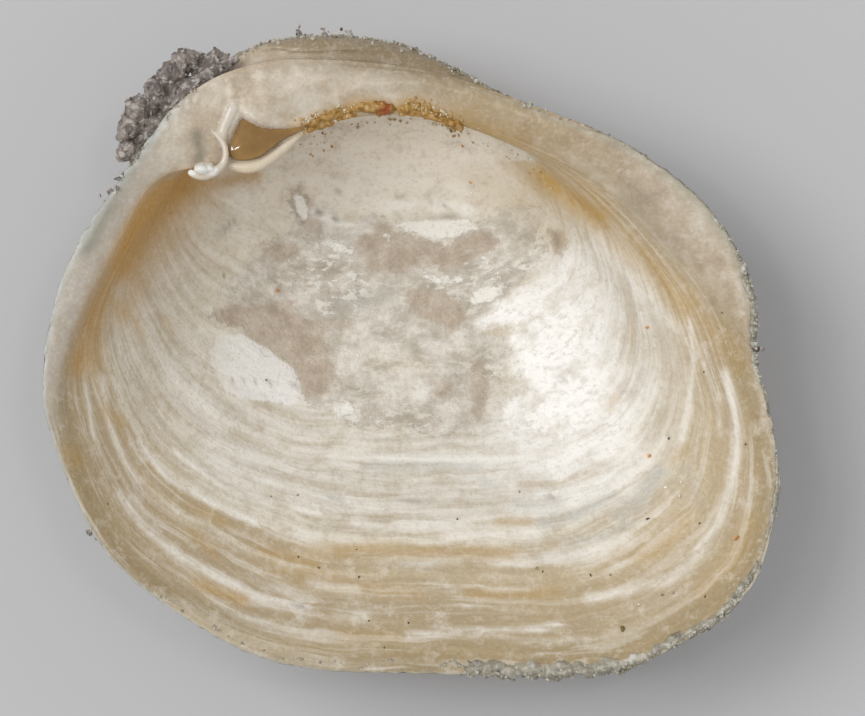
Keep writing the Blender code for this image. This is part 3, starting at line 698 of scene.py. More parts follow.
# Tones of the sand, made darker as painted shade for the clump's dim light; the single grains share them
SAND_TONES_WITH_PAINTED_SHADE = [
    (0.0, tint(68, 61, 59)),
    (0.35, tint(106, 96, 90)),
    (0.65, tint(144, 133, 125)),
    (0.9, tint(190, 184, 177)),
]
CRUST_TONES = [
    (0.0, tint(120, 115, 99)),
    (0.35, tint(152, 147, 130)),
    (0.65, tint(180, 175, 159)),
    (0.9, tint(208, 205, 193)),
]
SPECK_TONES = [
    (0.0, tint(58, 48, 36)),
    (0.35, tint(120, 104, 44)),
    (0.5, tint(200, 140, 70)),
    (0.7, tint(228, 164, 98)),
    (0.95, tint(244, 242, 236)),
]

# How light goes a little way into dry ligament and into sand, in metres
DRY_LIGAMENT_GLOW = dict(Subsurface_Weight=0.1, Subsurface_Scale=0.00005)
SAND_GLOW = dict(Subsurface_Weight=0.1, Subsurface_Scale=0.00006)

MOTTLE_DETAIL = 4.0
MOTTLE_INPUTS = [
    ("Place", "NodeSocketVector"),
    ("Scale", "NodeSocketFloat"),
    ("Roughness", "NodeSocketFloat"),
    ("Colour", "NodeSocketColor"),
    ("Pale", "NodeSocketColor"),
    ("Pale share", "NodeSocketFloat"),
    ("Dark", "NodeSocketColor"),
    ("Dark share", "NodeSocketFloat"),
]


def catmull_rom(before, start, end, after, t):
    """A point on the smooth curve through four control points, between the middle two."""
    return 0.5 * (
        2 * start
        + (end - before) * t
        + (2 * before - 5 * start + 4 * end - after) * t**2
        + (3 * start - before - 3 * end + after) * t**3
    )


def smooth_path(controls, steps):
    """Points on the smooth curve through control points of any number of values."""
    controls = np.array(controls, float)
    padded = np.concatenate([controls[:1], controls, controls[-1:]])
    rows = []
    for i in range(1, len(padded) - 2):
        rows += [catmull_rom(*padded[i - 1 : i + 3], j / steps) for j in range(steps)]
    return np.array(rows + [controls[-1]])


def smoothstep(low, high, values):
    """0 at low and 1 at high, with a soft start and end."""
    t = np.clip((values - low) / (high - low), 0, 1)
    return t * t * (3 - 2 * t)


def margin_curve(count, crowding=0.0):
    """Rows like those of MARGIN on a smooth closed curve, closer together at the hinge if crowded there."""
    controls = np.array(MARGIN)
    rows = []
    for i in range(len(controls)):
        around = [controls[(i + j) % len(controls)] for j in (-1, 0, 1, 2)]
        rows += [catmull_rom(*around, j / SPAN_STEPS) for j in range(SPAN_STEPS)]
    rows = np.array(rows + [rows[0]])
    steps = np.linalg.norm(np.diff(rows[:, :2], axis=0), axis=1)
    steps *= 1 + crowding * smoothstep(1.0, 2.2, rows[1:, 1])
    along = np.concatenate([[0], np.cumsum(steps)])
    places = np.linspace(0, along[-1], count, endpoint=False)
    return np.stack([np.interp(places, along, column) for column in rows.T], axis=1)


def inward_normals(outline):
    """Unit normals pointing into an outline that runs clockwise."""
    along = np.roll(outline, -1, axis=0) - np.roll(outline, 1, axis=0)
    normals = np.stack([along[:, 1], -along[:, 0]], axis=1)
    return normals / np.linalg.norm(normals, axis=1)[:, None]


def curl_angle(growth):
    """How far the shell's edge has turned about the hinge axis since it was this fraction of its size."""
    return CURL * (1 - growth**CURL_POWER)


def flat_ring(outline, growth):
    """The outer margin at a fraction of its final size: flat, rounder when young, its hinge on the axis."""
    reach = AXIS_RADIUS + growth * (HINGE_AXIS[1] - outline[:, 1] - AXIS_RADIUS)
    across = (outline[:, 0] - outline[:, 0].mean()) / (np.ptp(outline[:, 0]) / 2)
    reach *= 1 + YOUNG_BULGE * (1 - growth) ** 2 * (1 - across**2)
    width = growth ** (YOUNG_WIDTH_POWER + WIDTH_POWER_GAIN * growth)
    x = HINGE_AXIS[0] + width * (outline[:, 0] - HINGE_AXIS[0])
    return np.stack([x, HINGE_AXIS[1] - reach], axis=1)


def turned(ring, angle):
    """A flat ring turned about the hinge axis, its lower margin downwards."""
    reach = HINGE_AXIS[1] - ring[:, 1]
    y = HINGE_AXIS[1] - reach * math.cos(angle)
    return np.stack([ring[:, 0], y, -reach * math.sin(angle)], axis=1)


def outer_ring(curve, growth):
    """The outer margin where it was at a fraction of its final size."""
    return turned(flat_ring(curve[:, :2], growth), curl_angle(growth))


def inner_ring(curve, growth):
    """The cavity's lining: the growth ring less its wall, and less what is left of the lip at this depth."""
    angle = curl_angle(growth)
    margin = flat_ring(curve[:, :2], growth)
    wall = EDGE_WALL + (BEAK_WALL - EDGE_WALL) * (1 - growth)
    fade = 1 / (1 + (angle / LIP_FADE) ** 2)
    lip = curve[:, 2:4] - curve[:, :2] - EDGE_WALL * inward_normals(curve[:, :2])
    ring = turned(margin + wall * inward_normals(margin) + fade * lip, angle)
    ring[:, 2] -= fade * curve[:, 4]
    return ring


def lip_ring(margin, inner_edge, t):
    """A ring on the slightly crowned lip, a share t of the way from the outer margin to the inner edge."""
    ring = margin + (inner_edge - margin) * t
    ring[:, 2] += LIP_CROWN * np.linalg.norm(inner_edge - margin, axis=1) * 4 * t * (1 - t)
    return ring


def outside_growths():
    """Growths of the outside's rings: close together at the pauses, where the ledges are."""
    power = OUTSIDE_SPREAD_POWER
    even = np.linspace(YOUNGEST**power, 1, OUTSIDE_RINGS) ** (1 / power)
    near_pauses = [pause + step for pause in GROWTH_PAUSES for step in RINGS_NEAR_PAUSE]
    return np.unique(np.concatenate([even[:-1], near_pauses]))


def valve_rings():
    """Rings from the beak over the outside to the margin, over the lip and down into the cavity, each with
    its growth and how far over the lip it is."""
    curve = margin_curve(RING_POINTS, HINGE_CROWDING)
    margin = outer_ring(curve, 1.0)
    inner_edge = inner_ring(curve, 1.0)
    rings = [(outer_ring(curve, growth), growth, 0.0) for growth in outside_growths()]
    rings += [(lip_ring(margin, inner_edge, t), 1.0, t) for t in np.linspace(0, 1, LIP_RINGS + 2)]
    inside = np.linspace(1, CAVITY_START, INSIDE_RINGS + 1)[1:]
    return rings + [(inner_ring(curve, growth), growth, 1.0) for growth in inside]


def loft_faces(rings, count):
    """Quads between neighbouring rings of so many points, and a fan of triangles to a point at each end."""
    first = np.arange(rings - 1)[:, None] * count
    near = first + np.arange(count)[None, :]
    after = first + (np.arange(count)[None, :] + 1) % count
    quads = np.stack([near, after, after + count, near + count], axis=-1).reshape(-1, 4)
    tip, bottom = rings * count, rings * count + 1
    last = (rings - 1) * count
    fans = [(tip, (i + 1) % count, i) for i in range(count)]
    fans += [(bottom, last + i, last + (i + 1) % count) for i in range(count)]
    return quads.tolist() + fans


def path_distance(points, path):
    """How far each point is in plan view from a path of x, y."""
    nearest = np.full(len(points), np.inf)
    path = np.array(path, float)
    for start, end in zip(path[:-1], path[1:]):
        along = end - start
        t = np.clip((points[:, :2] - start) @ along / max(along @ along, 1e-9), 0, 1)
        gap = np.linalg.norm(points[:, :2] - start - t[:, None] * along, axis=1)
        nearest = np.minimum(nearest, gap)
    return nearest


def within(points, outline):
    """How far each point is in plan view inside an outline of x, y, negative outside it."""
    outline = np.array(outline, float)
    closed = np.concatenate([outline, outline[:1]])
    x, y = points[:, 0], points[:, 1]
    odd = np.zeros(len(points), bool)
    for (x0, y0), (x1, y1) in zip(closed[:-1], closed[1:]):
        if y0 != y1:
            odd ^= ((y0 > y) != (y1 > y)) & (x < (x1 - x0) * (y - y0) / (y1 - y0) + x0)
    return np.where(odd, 1, -1) * path_distance(points, closed)


def brushed(points, strokes):
    """How strongly soft strokes of path, half width and strength cover each point."""
    cover = np.zeros(len(points))
    for path, half_width, strength in strokes:
        cover = np.maximum(cover, strength * np.exp(-((path_distance(points, path) / half_width) ** 2)))
    return cover


def growth_lines(growth, around, seed, count, height, width):
    """Irregular lines along the growth rings, each fading in and out on its way round."""
    draw = np.random.default_rng(seed)
    relief = np.zeros(len(growth))
    for _ in range(count):
        place, waves, turn = draw.uniform(0.30, 0.99), draw.integers(1, 5), draw.uniform(0, 2 * math.pi)
        tall = height * draw.uniform(-0.6, 1.0)
        wide = width * draw.uniform(0.6, 1.6)
        shown = 0.5 + 0.5 * np.cos(waves * around + turn)
        relief += tall * shown * np.exp(-(((growth - place) / wide) ** 2))
    return relief


def growth_ledges(growth):
    """A ledge at each pause in growth: a slow rise before it and a quick fall after."""
    relief = np.zeros(len(growth))
    for pause in GROWTH_PAUSES:
        gap = growth - pause
        relief = np.maximum(relief, LEDGE * np.exp(-np.abs(gap) / np.where(gap < 0, LEDGE_RISE, LEDGE_FALL)))
    return relief


def only(piece):
    """Makes one piece the only selected and the active one."""
    bpy.ops.object.select_all(action="DESELECT")
    piece.select_set(True)
    bpy.context.view_layer.objects.active = piece


def face_outwards(piece):
    """Turns a closed piece's faces outwards."""
    only(piece)
    bpy.ops.object.mode_set(mode="EDIT")
    bpy.ops.mesh.select_all(action="SELECT")
    bpy.ops.mesh.normals_make_consistent(inside=False)
    bpy.ops.object.mode_set(mode="OBJECT")


def apply_modifier(piece, kind, **settings):
    """Adds a modifier with its settings and applies it."""
    only(piece)
    modifier = piece.modifiers.new(kind.lower(), kind)
    for name, value in settings.items():
        setattr(modifier, name, value)
    bpy.ops.object.modifier_apply(modifier=modifier.name)


def join(pieces, name):
    """Joins pieces into the first of them."""
    only(pieces[0])
    for piece in pieces:
        piece.select_set(True)
    bpy.ops.object.join()
    pieces[0].name = name
    return pieces[0]


def points_of(mesh):
    points = np.empty(len(mesh.vertices) * 3)
    mesh.vertices.foreach_get("co", points)
    return points.reshape(-1, 3)


def set_points(mesh, points):
    mesh.vertices.foreach_set("co", points.ravel())
    mesh.update()


def normals_of(mesh):
    normals = np.empty(len(mesh.vertices) * 3)
    mesh.vertex_normals.foreach_get("vector", normals)
    return normals.reshape(-1, 3)


def set_attribute(mesh, name, values):
    """Gives each point of a mesh a value that a material can read."""
    attribute = mesh.attributes.new(name, "FLOAT", "POINT")
    attribute.data.foreach_set("value", np.asarray(values, np.float32))


def new_piece(name, points, faces):
    mesh = bpy.data.meshes.new(name)
    mesh.from_pydata(points, [], faces)
    piece = bpy.data.objects.new(name, mesh)
    bpy.context.collection.objects.link(piece)
    return piece


def settle(piece, finish, replaced=(), flat=False):
    """Sets a piece down in the CAD's frame, in metres, gives it its finish and ties it to the frame."""
    piece.data.transform(Matrix.Scale(MM, 4) @ Matrix.Translation(SHELL_ORIGIN))
    piece.data.materials.clear()
    piece.data.materials.append(finish)
    only(piece)
    if flat:
        bpy.ops.object.shade_flat()
    else:
        bpy.ops.object.shade_smooth()
    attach(piece, "root")
    if replaced:
        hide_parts(*replaced)


def smooth_where(piece, cover, passes):
    """Relaxes a piece's mesh where it is covered, 0 to 1 for each point."""
    group = piece.vertex_groups.new(name="relax")
    for index in np.nonzero(cover > 0.02)[0].tolist():
        group.add([index], float(cover[index]), "REPLACE")
    apply_modifier(piece, "SMOOTH", factor=0.5, iterations=passes, vertex_group="relax")
    piece.vertex_groups.clear()


def sink_pit(points, lip_share):
    """Presses the ligament pit into the hinge plate."""
    depth = PIT_DEPTH * smoothstep(0.0, PIT_RIM, within(points, PIT_OUTLINE))
    points[:, 2] -= np.where(lip_share > 0, depth, 0)


def lumps(points, fineness):
    """Smooth irregular lumps, about -1 to 1."""
    return np.array([noise.fractal(Vector(point), 1.0, 2.0, 4) for point in points * fineness])


def crumble_edge(points, normals, growth, lip_share):
    """Breaks up the outer margin's edge a little."""
    start, full = EDGE_CRUMBLE_GROWTH
    near = (growth > start) & (lip_share < EDGE_CRUMBLE_LIP)
    fade = smoothstep(start, full, growth[near]) * smoothstep(EDGE_CRUMBLE_LIP, 0.0, lip_share[near])
    push = EDGE_CRUMBLE["height"] * fade * lumps(points[near], EDGE_CRUMBLE["fineness"])
    points[near] += push[:, None] * normals[near]


def work_relief(piece, growth, lip_share):
    """Pits, ridges, ledges and growth lines of the valve, pressed into its smooth mesh."""
    points, normals = points_of(piece.data), normals_of(piece.data)
    around = np.arange(len(points)) % RING_POINTS * (2 * math.pi / RING_POINTS)
    outside = lip_share == 0
    top = ~outside & (normals[:, 2] > 0)
    push = np.where(outside, growth_ledges(growth) + growth_lines(growth, around, **OUTSIDE_LINES), 0)
    push *= smoothstep(*OUTSIDE_RELIEF_FADE, points[:, 1])
    fade_in = smoothstep(*INSIDE_LINES_FADE, growth) * (lip_share == 1)
    push += fade_in * growth_lines(growth, around, **INSIDE_LINES)
    points += push[:, None] * normals
    crumble_edge(points, normals, growth, lip_share)
    on_plate = top & (points[:, 2] > LIP_LUMPS_LOWEST) & (points[:, 1] > LIP_LUMPS_FADE[0])
    fade = smoothstep(*LIP_LUMPS_FADE, points[on_plate, 1])
    points[on_plate, 2] += LIP_LUMPS["height"] * fade * lumps(points[on_plate], LIP_LUMPS["fineness"])
    for path, half_width, height in RELIEF:
        points[:, 2] += np.where(top, height * np.exp(-((path_distance(points, path) / half_width) ** 2)), 0)
    sink_pit(points, lip_share)
    points[:, 2] = np.maximum(points[:, 2], -SHELL_ORIGIN[2])
    set_points(piece.data, points)


def rod(name, rows):
    """A round-ended rod along rows of x, y, z and radius, as a curve with a bevel."""
    smooth = smooth_path(rows, ROD_STEPS)
    curve = bpy.data.curves.new(name, "CURVE")
    curve.dimensions = "3D"
    curve.bevel_depth = 1.0
    curve.bevel_resolution = ROD_ROUNDNESS
    curve.use_fill_caps = True
    spline = curve.splines.new("POLY")
    start = (*(2 * smooth[0] - smooth[1])[:3], ROD_TIP)
    end = (*(2 * smooth[-1] - smooth[-2])[:3], ROD_TIP)
    spline.points.add(len(smooth) + 1)
    for point, (x, y, z, radius) in zip(spline.points, [start, *smooth, end]):
        point.co = (x, y, z, 1)
        point.radius = radius
    piece = bpy.data.objects.new(name, curve)
    bpy.context.collection.objects.link(piece)
    only(piece)
    bpy.ops.object.convert(target="MESH")
    return bpy.context.object


def make_hook():
    """The hooked tooth, its chalky knob and the ridge below the pit, melted together."""
    rods = [rod(f"rod_{i}", rows) for i, rows in enumerate((TOOTH_FOLD, TOOTH_RIM, KNOB, RIDGE))]
    hook = join(rods, "hook")
    apply_modifier(hook, "REMESH", mode="VOXEL", voxel_size=HOOK_VOXEL)
    apply_modifier(hook, "SMOOTH", factor=0.5, iterations=HOOK_PASSES)
    points, normals = points_of(hook.data), normals_of(hook.data)
    chalky = np.exp(-((path_distance(points, np.array(KNOB)[:, :2]) / KNOB_CHALK["reach"]) ** 2))
    rough = KNOB_CHALK["height"] * chalky * lumps(points, KNOB_CHALK["fineness"])
    points += rough[:, None] * normals
    set_points(hook.data, points)
    return hook


def nearest_values(mesh, source_points, values):
    """For each point of a mesh, the values of the nearest source point, and how far that is."""
    tree = KDTree(len(source_points))
    for index, point in enumerate(source_points.tolist()):
        tree.insert(point, index)
    tree.balance()
    found = [tree.find(vertex.co) for vertex in mesh.vertices]
    nearest = np.array([index for _, index, _ in found])
    return values[:, nearest], np.array([gap for _, _, gap in found])


def lip_cover(points, lip_share):
    """1 on the lip and hinge plate, fading softly into the hollow, and 0 along the lower margin."""
    inner_edge = inner_ring(margin_curve(RING_POINTS), 1.0)
    into_hollow = within(points, inner_edge[:, :2])
    upper = smoothstep(-0.7, 0.5, points[:, 1] - 0.15 * points[:, 0])
    soft = 0.05 + 0.13 * smoothstep(-0.5, 1.5, points[:, 0]) + 0.05 * smoothstep(-2.3, -3.0, points[:, 0])
    cover = upper * (1 - smoothstep(-1, 1, into_hollow / soft))
    behind_hinge = smoothstep(-1.1, -0.5, points[:, 2]) * smoothstep(1.9, 2.3, points[:, 1])
    return np.where(lip_share > 0, np.where(points[:, 2] > -0.6, cover, 0), behind_hinge)


def paint_valve(mesh, growth, lip_share, porcelain):
    """Point attributes that the shell's finish reads. Strokes and patches lie on the hollow side, apart from
    what is deep under the hinge plate."""
    points, normals = points_of(mesh), normals_of(mesh)
    top = (lip_share > 0) & (normals[:, 2] > -0.2) & ((points[:, 2] > -0.45) | (points[:, 1] < 1.9))
    set_attribute(mesh, "growth", growth)
    set_attribute(mesh, "over_lip", lip_share)
    set_attribute(mesh, "porcelain", porcelain)
    set_attribute(mesh, "lip", lip_cover(points, lip_share))
    for name, strokes in STROKES.items():
        set_attribute(mesh, name, np.where(top, brushed(points, strokes), 0))
    for name, outlines in PATCHES.items():
        depth = np.max([within(points, outline) for outline in outlines], axis=0)
        set_attribute(mesh, name, np.where(top, np.clip(depth, -1, 1), -1))


def ring_points(rings):
    """The rings' points and one to close each end, the growth of each, and how far over the lip it is."""
    points = np.concatenate([ring for ring, _, _ in rings])
    ends = [rings[0][0].mean(axis=0), rings[-1][0].mean(axis=0)]
    growth = np.repeat([growth for _, growth, _ in rings], RING_POINTS)
    lip_share = np.repeat([share for _, _, share in rings], RING_POINTS)
    points = np.concatenate([points, ends])
    growth = np.concatenate([growth, [rings[0][1], rings[-1][1]]])
    lip_share = np.concatenate([lip_share, [rings[0][2], rings[-1][2]]])
    return points, growth, lip_share


def soften_turns(valve, points, growth, lip_share):
    """Smooths the valve where it turns without an edge."""
    top = (lip_share > 0) & (points[:, 2] > TURNS_LOWEST)
    near_margin = top | (growth > HINGE_TURN_GROWTH)
    turns = [(HINGE_TURN, near_margin)] + [(turn, top) for turn in SOFT_TURNS]
    for (path, half_width, passes), part in turns:
        turn = np.exp(-((path_distance(points, path) / half_width) ** 2))
        smooth_where(valve, np.where(part, turn, 0), passes)


def melt_in_hook(valve, growth, lip_share):
    """Melts the tooth and ridge into the valve, finds the growth and lip of its points again, and how far
    each is porcelain."""
    skin = points_of(valve.data)
    hook = make_hook()
    apply_modifier(valve, "BOOLEAN", operation="UNION", solver="MANIFOLD", object=hook)
    bpy.data.objects.remove(hook)
    (growth, lip_share), gap = nearest_values(valve.data, skin, np.stack([growth, lip_share]))
    seam = np.where(gap > SEAM_LEAST_GAP, 1.0, 0.0) * np.exp(-((gap / SEAM_WIDTH) ** 2))
    smooth_where(valve, seam, SEAM_PASSES)
    return growth, lip_share, smoothstep(*PORCELAIN_GAPS, gap)


def make_valve(finish):
    """The valve: its rings lofted, its turns softened, its relief worked in, and the tooth melted in."""
    rings = valve_rings()
    points, growth, lip_share = ring_points(rings)
    valve = new_piece("valve_shell", points, loft_faces(len(rings), RING_POINTS))
    face_outwards(valve)
    soften_turns(valve, points, growth, lip_share)
    work_relief(valve, growth, lip_share)
    growth, lip_share, porcelain = melt_in_hook(valve, growth, lip_share)
    paint_valve(valve.data, growth, lip_share, porcelain)
    settle(valve, finish, ["valve"])
    return valve


def grain_kinds():
    """Angular grain shapes of about unit radius, each the hull of a few scattered corners."""
    kinds = []
    for seed in range(GRAIN_KINDS):
        draw = np.random.default_rng(seed)
        corners = draw.normal(size=(GRAIN_CORNERS, 3))
        corners /= np.linalg.norm(corners, axis=1)[:, None]
        corners *= (1.0, draw.uniform(0.65, 1.0), draw.uniform(0.55, 0.9))
        body = bmesh.new()
        for corner in corners:
            body.verts.new(corner)
        bmesh.ops.convex_hull(body, input=body.verts)
        body.verts.index_update()
        sides = [[vertex.index for vertex in face.verts] for face in body.faces]
        kinds.append((np.array([vertex.co[:] for vertex in body.verts]), sides))
        body.free()
    return kinds


KINDS = grain_kinds()


def random_turn(draw):
    """A rotation matrix, any turn as likely as another."""
    quaternion = draw.normal(size=4)
    w, x, y, z = quaternion / np.linalg.norm(quaternion)
    return np.array(
        [
            (1 - 2 * (y * y + z * z), 2 * (x * y - z * w), 2 * (x * z + y * w)),
            (2 * (x * y + z * w), 1 - 2 * (x * x + z * z), 2 * (y * z - x * w)),
            (2 * (x * z - y * w), 2 * (y * z + x * w), 1 - 2 * (x * x + y * y)),
        ]
    )


def scatter(name, spots, draw, tones=None):
    """One piece of grains at spots of x, y, z and radius, each a turned and stretched copy of one kind."""
    points, faces, shades = [], [], []
    start = 0
    for number, (x, y, z, radius) in enumerate(spots):
        shape, sides = KINDS[draw.integers(len(KINDS))]
        size = radius * draw.uniform(*GRAIN_STRETCH, 3)
        points.append(shape * size @ random_turn(draw).T + (x, y, z))
        faces += [[start + corner for corner in side] for side in sides]
        shades.append(np.full(len(shape), draw.random() if tones is None else tones[number]))
        start += len(shape)
    piece = new_piece(name, np.concatenate(points), faces)
    set_attribute(piece.data, "tone", np.concatenate(shades))
    return piece


def skin_of(piece):
    """A search tree over a piece's surface, in the shell's own millimetres."""
    back = Matrix.Translation(-Vector(SHELL_ORIGIN)) @ Matrix.Scale(1 / MM, 4)
    points = [back @ vertex.co for vertex in piece.data.vertices]
    return BVHTree.FromPolygons(points, [face.vertices[:] for face in piece.data.polygons])


def dropped(skin, x, y, radius):
    """A grain let down on to the surface at x, y, and sunk in a little."""
    place = skin.ray_cast(Vector((x, y, 1)), Vector((0, 0, -1)))[0]
    return (x, y, place.z + radius * LYING_STAND_OFF, radius)


def stuck(skin, place, radius):
    """A grain stuck to the nearest part of the surface."""
    spot, normal, _, _ = skin.find_nearest(Vector(place))
    return (*(spot + STUCK_STAND_OFF * radius * normal), radius)


def make_gum(finish):
    """The ligament gum that fills the pit: glassy on top, creeping up the pit's rim, with a slight crown."""
    outline = smooth_path(PIT_OUTLINE + PIT_OUTLINE[:1], GUM_OUTLINE_STEPS)[:-1]
    centre = outline.mean(axis=0)
    rings = []
    for share in np.linspace(1, 0, GUM_RINGS, endpoint=False) ** GUM_RING_CROWDING:
        flat = centre + (outline - centre) * share
        depth = np.maximum(within(flat, outline), 0)
        crown = GUM_CROWN * (1 - (1 - np.minimum(depth / GUM_CROWN_WIDTH, 1)) ** 2)
        height = GUM_LEVEL + GUM_CREEP * np.exp(-depth / GUM_CREEP_WIDTH) + crown
        rings.append(np.column_stack([flat, height]))
    below = np.column_stack([outline, np.full(len(outline), GUM_FLOOR)])
    points = np.concatenate([below, *rings, [(*centre, GUM_FLOOR)], [(*centre, GUM_LEVEL + GUM_CROWN)]])
    gum = new_piece("ligament_gum", points, loft_faces(len(rings) + 1, len(outline)))
    face_outwards(gum)
    settle(gum, finish, ["ligament_pad"])


def set_tone(piece, points, middle, swing, fineness):
    """Gives each point of a piece a tone that wanders in lumps about a middle one."""
    set_attribute(piece.data, "tone", np.clip(middle + swing * lumps(points, fineness), 0, 1))


def crumble(piece, voxel, fineness, depth):
    """Gives a piece an even fine mesh and a rough, crumbly surface."""
    apply_modifier(piece, "REMESH", mode="VOXEL", voxel_size=voxel)
    points, normals = points_of(piece.data), normals_of(piece.data)
    points += (depth * lumps(points, fineness))[:, None] * normals
    set_points(piece.data, points)


def make_shred(finish):
    """Dry strands of ligament along the lower edge of the hinge plate, melted together and crumbly."""
    strands = [rod(f"strand_{i}", rows) for i, rows in enumerate(SHRED_STRANDS)]
    shred = join(strands, "ligament_thread")
    crumble(shred, **SHRED_CRUMBLE)
    settle(shred, finish, ["ligament_shred"])


def make_crumbs(skin, finish):
    """Dry crumbs of ligament and grit along the lower edge of the hinge plate."""
    draw = np.random.default_rng(21)
    spots = []
    for controls, count, sizes, spread in CRUMB_PATHS:
        path = smooth_path(controls, 12)
        for _ in range(count):
            x, y = path[draw.integers(len(path))] + draw.normal(0, spread, 2)
            spots.append(dropped(skin, x, y, draw.uniform(*sizes)))
    settle(scatter("ligament_crumbs", spots, draw), finish, flat=True)


def make_specks(skin, finish):
    """The single dark, ochre and clear specks lying in the hollow."""
    draw = np.random.default_rng(4)
    spots = [dropped(skin, x, y, radius) for x, y, radius, _ in SPECKS]
    tones = [tone for _, _, _, tone in SPECKS]
    settle(scatter("specks", spots, draw, tones), finish, flat=True)


def in_shell_frame(point):
    return tuple(np.array(point) / MM - SHELL_ORIGIN)


def make_clump(finish):
    """The sand clump: the CAD's clump and a fillet that ties it to the shell, rough, with grains over it."""
    draw = np.random.default_rng(5)
    core = new_piece("sand_clump_grains", [], [])
    core.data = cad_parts["sand_clump"].data.copy()
    core.data.transform(Matrix.Translation(-Vector(SHELL_ORIGIN)) @ Matrix.Scale(1 / MM, 4))
    core.data.materials.clear()
    core = join([core, rod("clump_fillet", CLUMP_FILL)], "sand_clump_grains")
    crumble(core, **CLUMP_CRUMBLE)
    points, normals = points_of(core.data), normals_of(core.data)
    set_tone(core, points, **CLUMP_TONE)
    spots = []
    for chosen in draw.integers(len(points), size=CLUMP_GRAINS):
        radius = draw.uniform(*CLUMP_GRAIN_SIZES)
        spots.append((*(points[chosen] - CLUMP_GRAIN_SINK * radius * normals[chosen]), radius))
    only(core)
    bpy.ops.object.shade_smooth()
    grains = scatter("grains", spots, draw)
    clump = join([core, grains], "sand_clump_grains")
    settle(clump, finish, ["sand_clump"], flat=True)


def make_single_grains(finish):
    """The larger single grains, each with a few chips on it."""
    draw = np.random.default_rng(9)
    for node in sorted(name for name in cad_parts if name.startswith("sand_grain_")):
        low, high = (np.array(in_shell_frame(corner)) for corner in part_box(node))
        centre, radius = (low + high) / 2, (high - low).mean() / 2
        spots = [(*centre, radius)]
        for _ in range(CHIPS):
            place = centre + draw.normal(0, radius * CHIP_SPREAD, 3)
            spots.append((*place, radius * draw.uniform(*CHIP_SIZES)))
        settle(scatter(node + "_chips", spots, draw), finish, [node], flat=True)


def crust_path(shell):
    """Points along the shell's outline in plan view, clockwise from straight up, each with the way out and
    the radius of the crust there."""
    points = points_of(shell.data) / MM - SHELL_ORIGIN
    turns = np.arctan2(points[:, 0], points[:, 1]) % (2 * math.pi)
    reach = np.linalg.norm(points[:, :2], axis=1)
    bins = (turns * OUTLINE_BINS / (2 * math.pi)).astype(int)
    order = np.argsort(reach)
    farthest = np.zeros(OUTLINE_BINS, int)
    farthest[bins[order]] = order
    corners = points[farthest]
    for _ in range(OUTLINE_SMOOTHINGS):
        corners = (np.roll(corners, 1, axis=0) + 2 * corners + np.roll(corners, -1, axis=0)) / 4
    closed = np.concatenate([corners, corners[:1]])
    places = np.linspace(0, OUTLINE_BINS, CRUST_SKIN_STEPS, endpoint=False)
    bins = np.arange(OUTLINE_BINS + 1)
    edge = np.stack([np.interp(places, bins, column) for column in closed.T], axis=1)
    table = np.array(CRUST_SKIN)
    radii = np.interp(places * 360 / OUTLINE_BINS, table[:, 0], table[:, 1])
    return edge, -inward_normals(edge[:, :2]), radii


def make_crust_skin(finish, path):
    """A lumpy skin of crust round the outer margin, next to nothing where the shell is clean."""
    edge, outwards, radii = path
    angles = np.arange(CRUST_SKIN_SIDES) * (2 * math.pi / CRUST_SKIN_SIDES)
    centres = edge.copy()
    centres[:, :2] -= CRUST_SKIN_INSET * radii[:, None] * outwards
    centres[:, 2] -= CRUST_SKIN_SINK * radii + CRUST_SKIN_DROP
    points = []
    for angle in angles:
        rise = np.full(len(edge), CRUST_SKIN_TALL * math.sin(angle))
        step = np.column_stack([outwards * math.cos(angle), rise])
        lump = lumps(centres + 0.2 * step, CRUST_SKIN_LUMPS["fineness"])
        points.append(centres + (radii * (1 + CRUST_SKIN_LUMPS["share"] * lump))[:, None] * step)
    points = np.stack(points, axis=1).reshape(-1, 3)
    faces = []
    for i in range(CRUST_SKIN_STEPS):
        here, following = i * CRUST_SKIN_SIDES, (i + 1) % CRUST_SKIN_STEPS * CRUST_SKIN_SIDES
        for j in range(CRUST_SKIN_SIDES):
            k = (j + 1) % CRUST_SKIN_SIDES
            faces.append((here + j, here + k, following + k, following + j))
    crust = new_piece("crust_skin", points, faces)
    set_tone(crust, points, **CRUST_SKIN_TONE)
    face_outwards(crust)
    settle(crust, finish)
    return crust


def make_crust(finish, path, shell, crust):
    """Fine sand and crumbs stuck on the skin of crust, and on the shell where there is no skin."""
    draw = np.random.default_rng(13)
    edge, outwards, radii = path
    on_crust, on_shell = skin_of(crust), skin_of(shell)
    for number, (start, end, count, small, large, spread) in enumerate(CRUST):
        spots = []
        for _ in range(count):
            i = int(draw.uniform(start, end) / 360 * CRUST_SKIN_STEPS) % CRUST_SKIN_STEPS
            x, y = edge[i, :2] + radii[i] * draw.uniform(*CRUST_CRUMB_REACH) * outwards[i]
            z = edge[i, 2] + spread * draw.normal()
            radius = small + (large - small) * draw.random() ** 2
            skin = on_crust if radii[i] > CRUST_SKIN_THINNEST else on_shell
            spots.append(stuck(skin, (x, y, z), radius))
        tones = draw.uniform(*CRUST_CRUMB_TONES, count)
        settle(scatter(f"crust_{number}", spots, draw, tones), finish, flat=True)


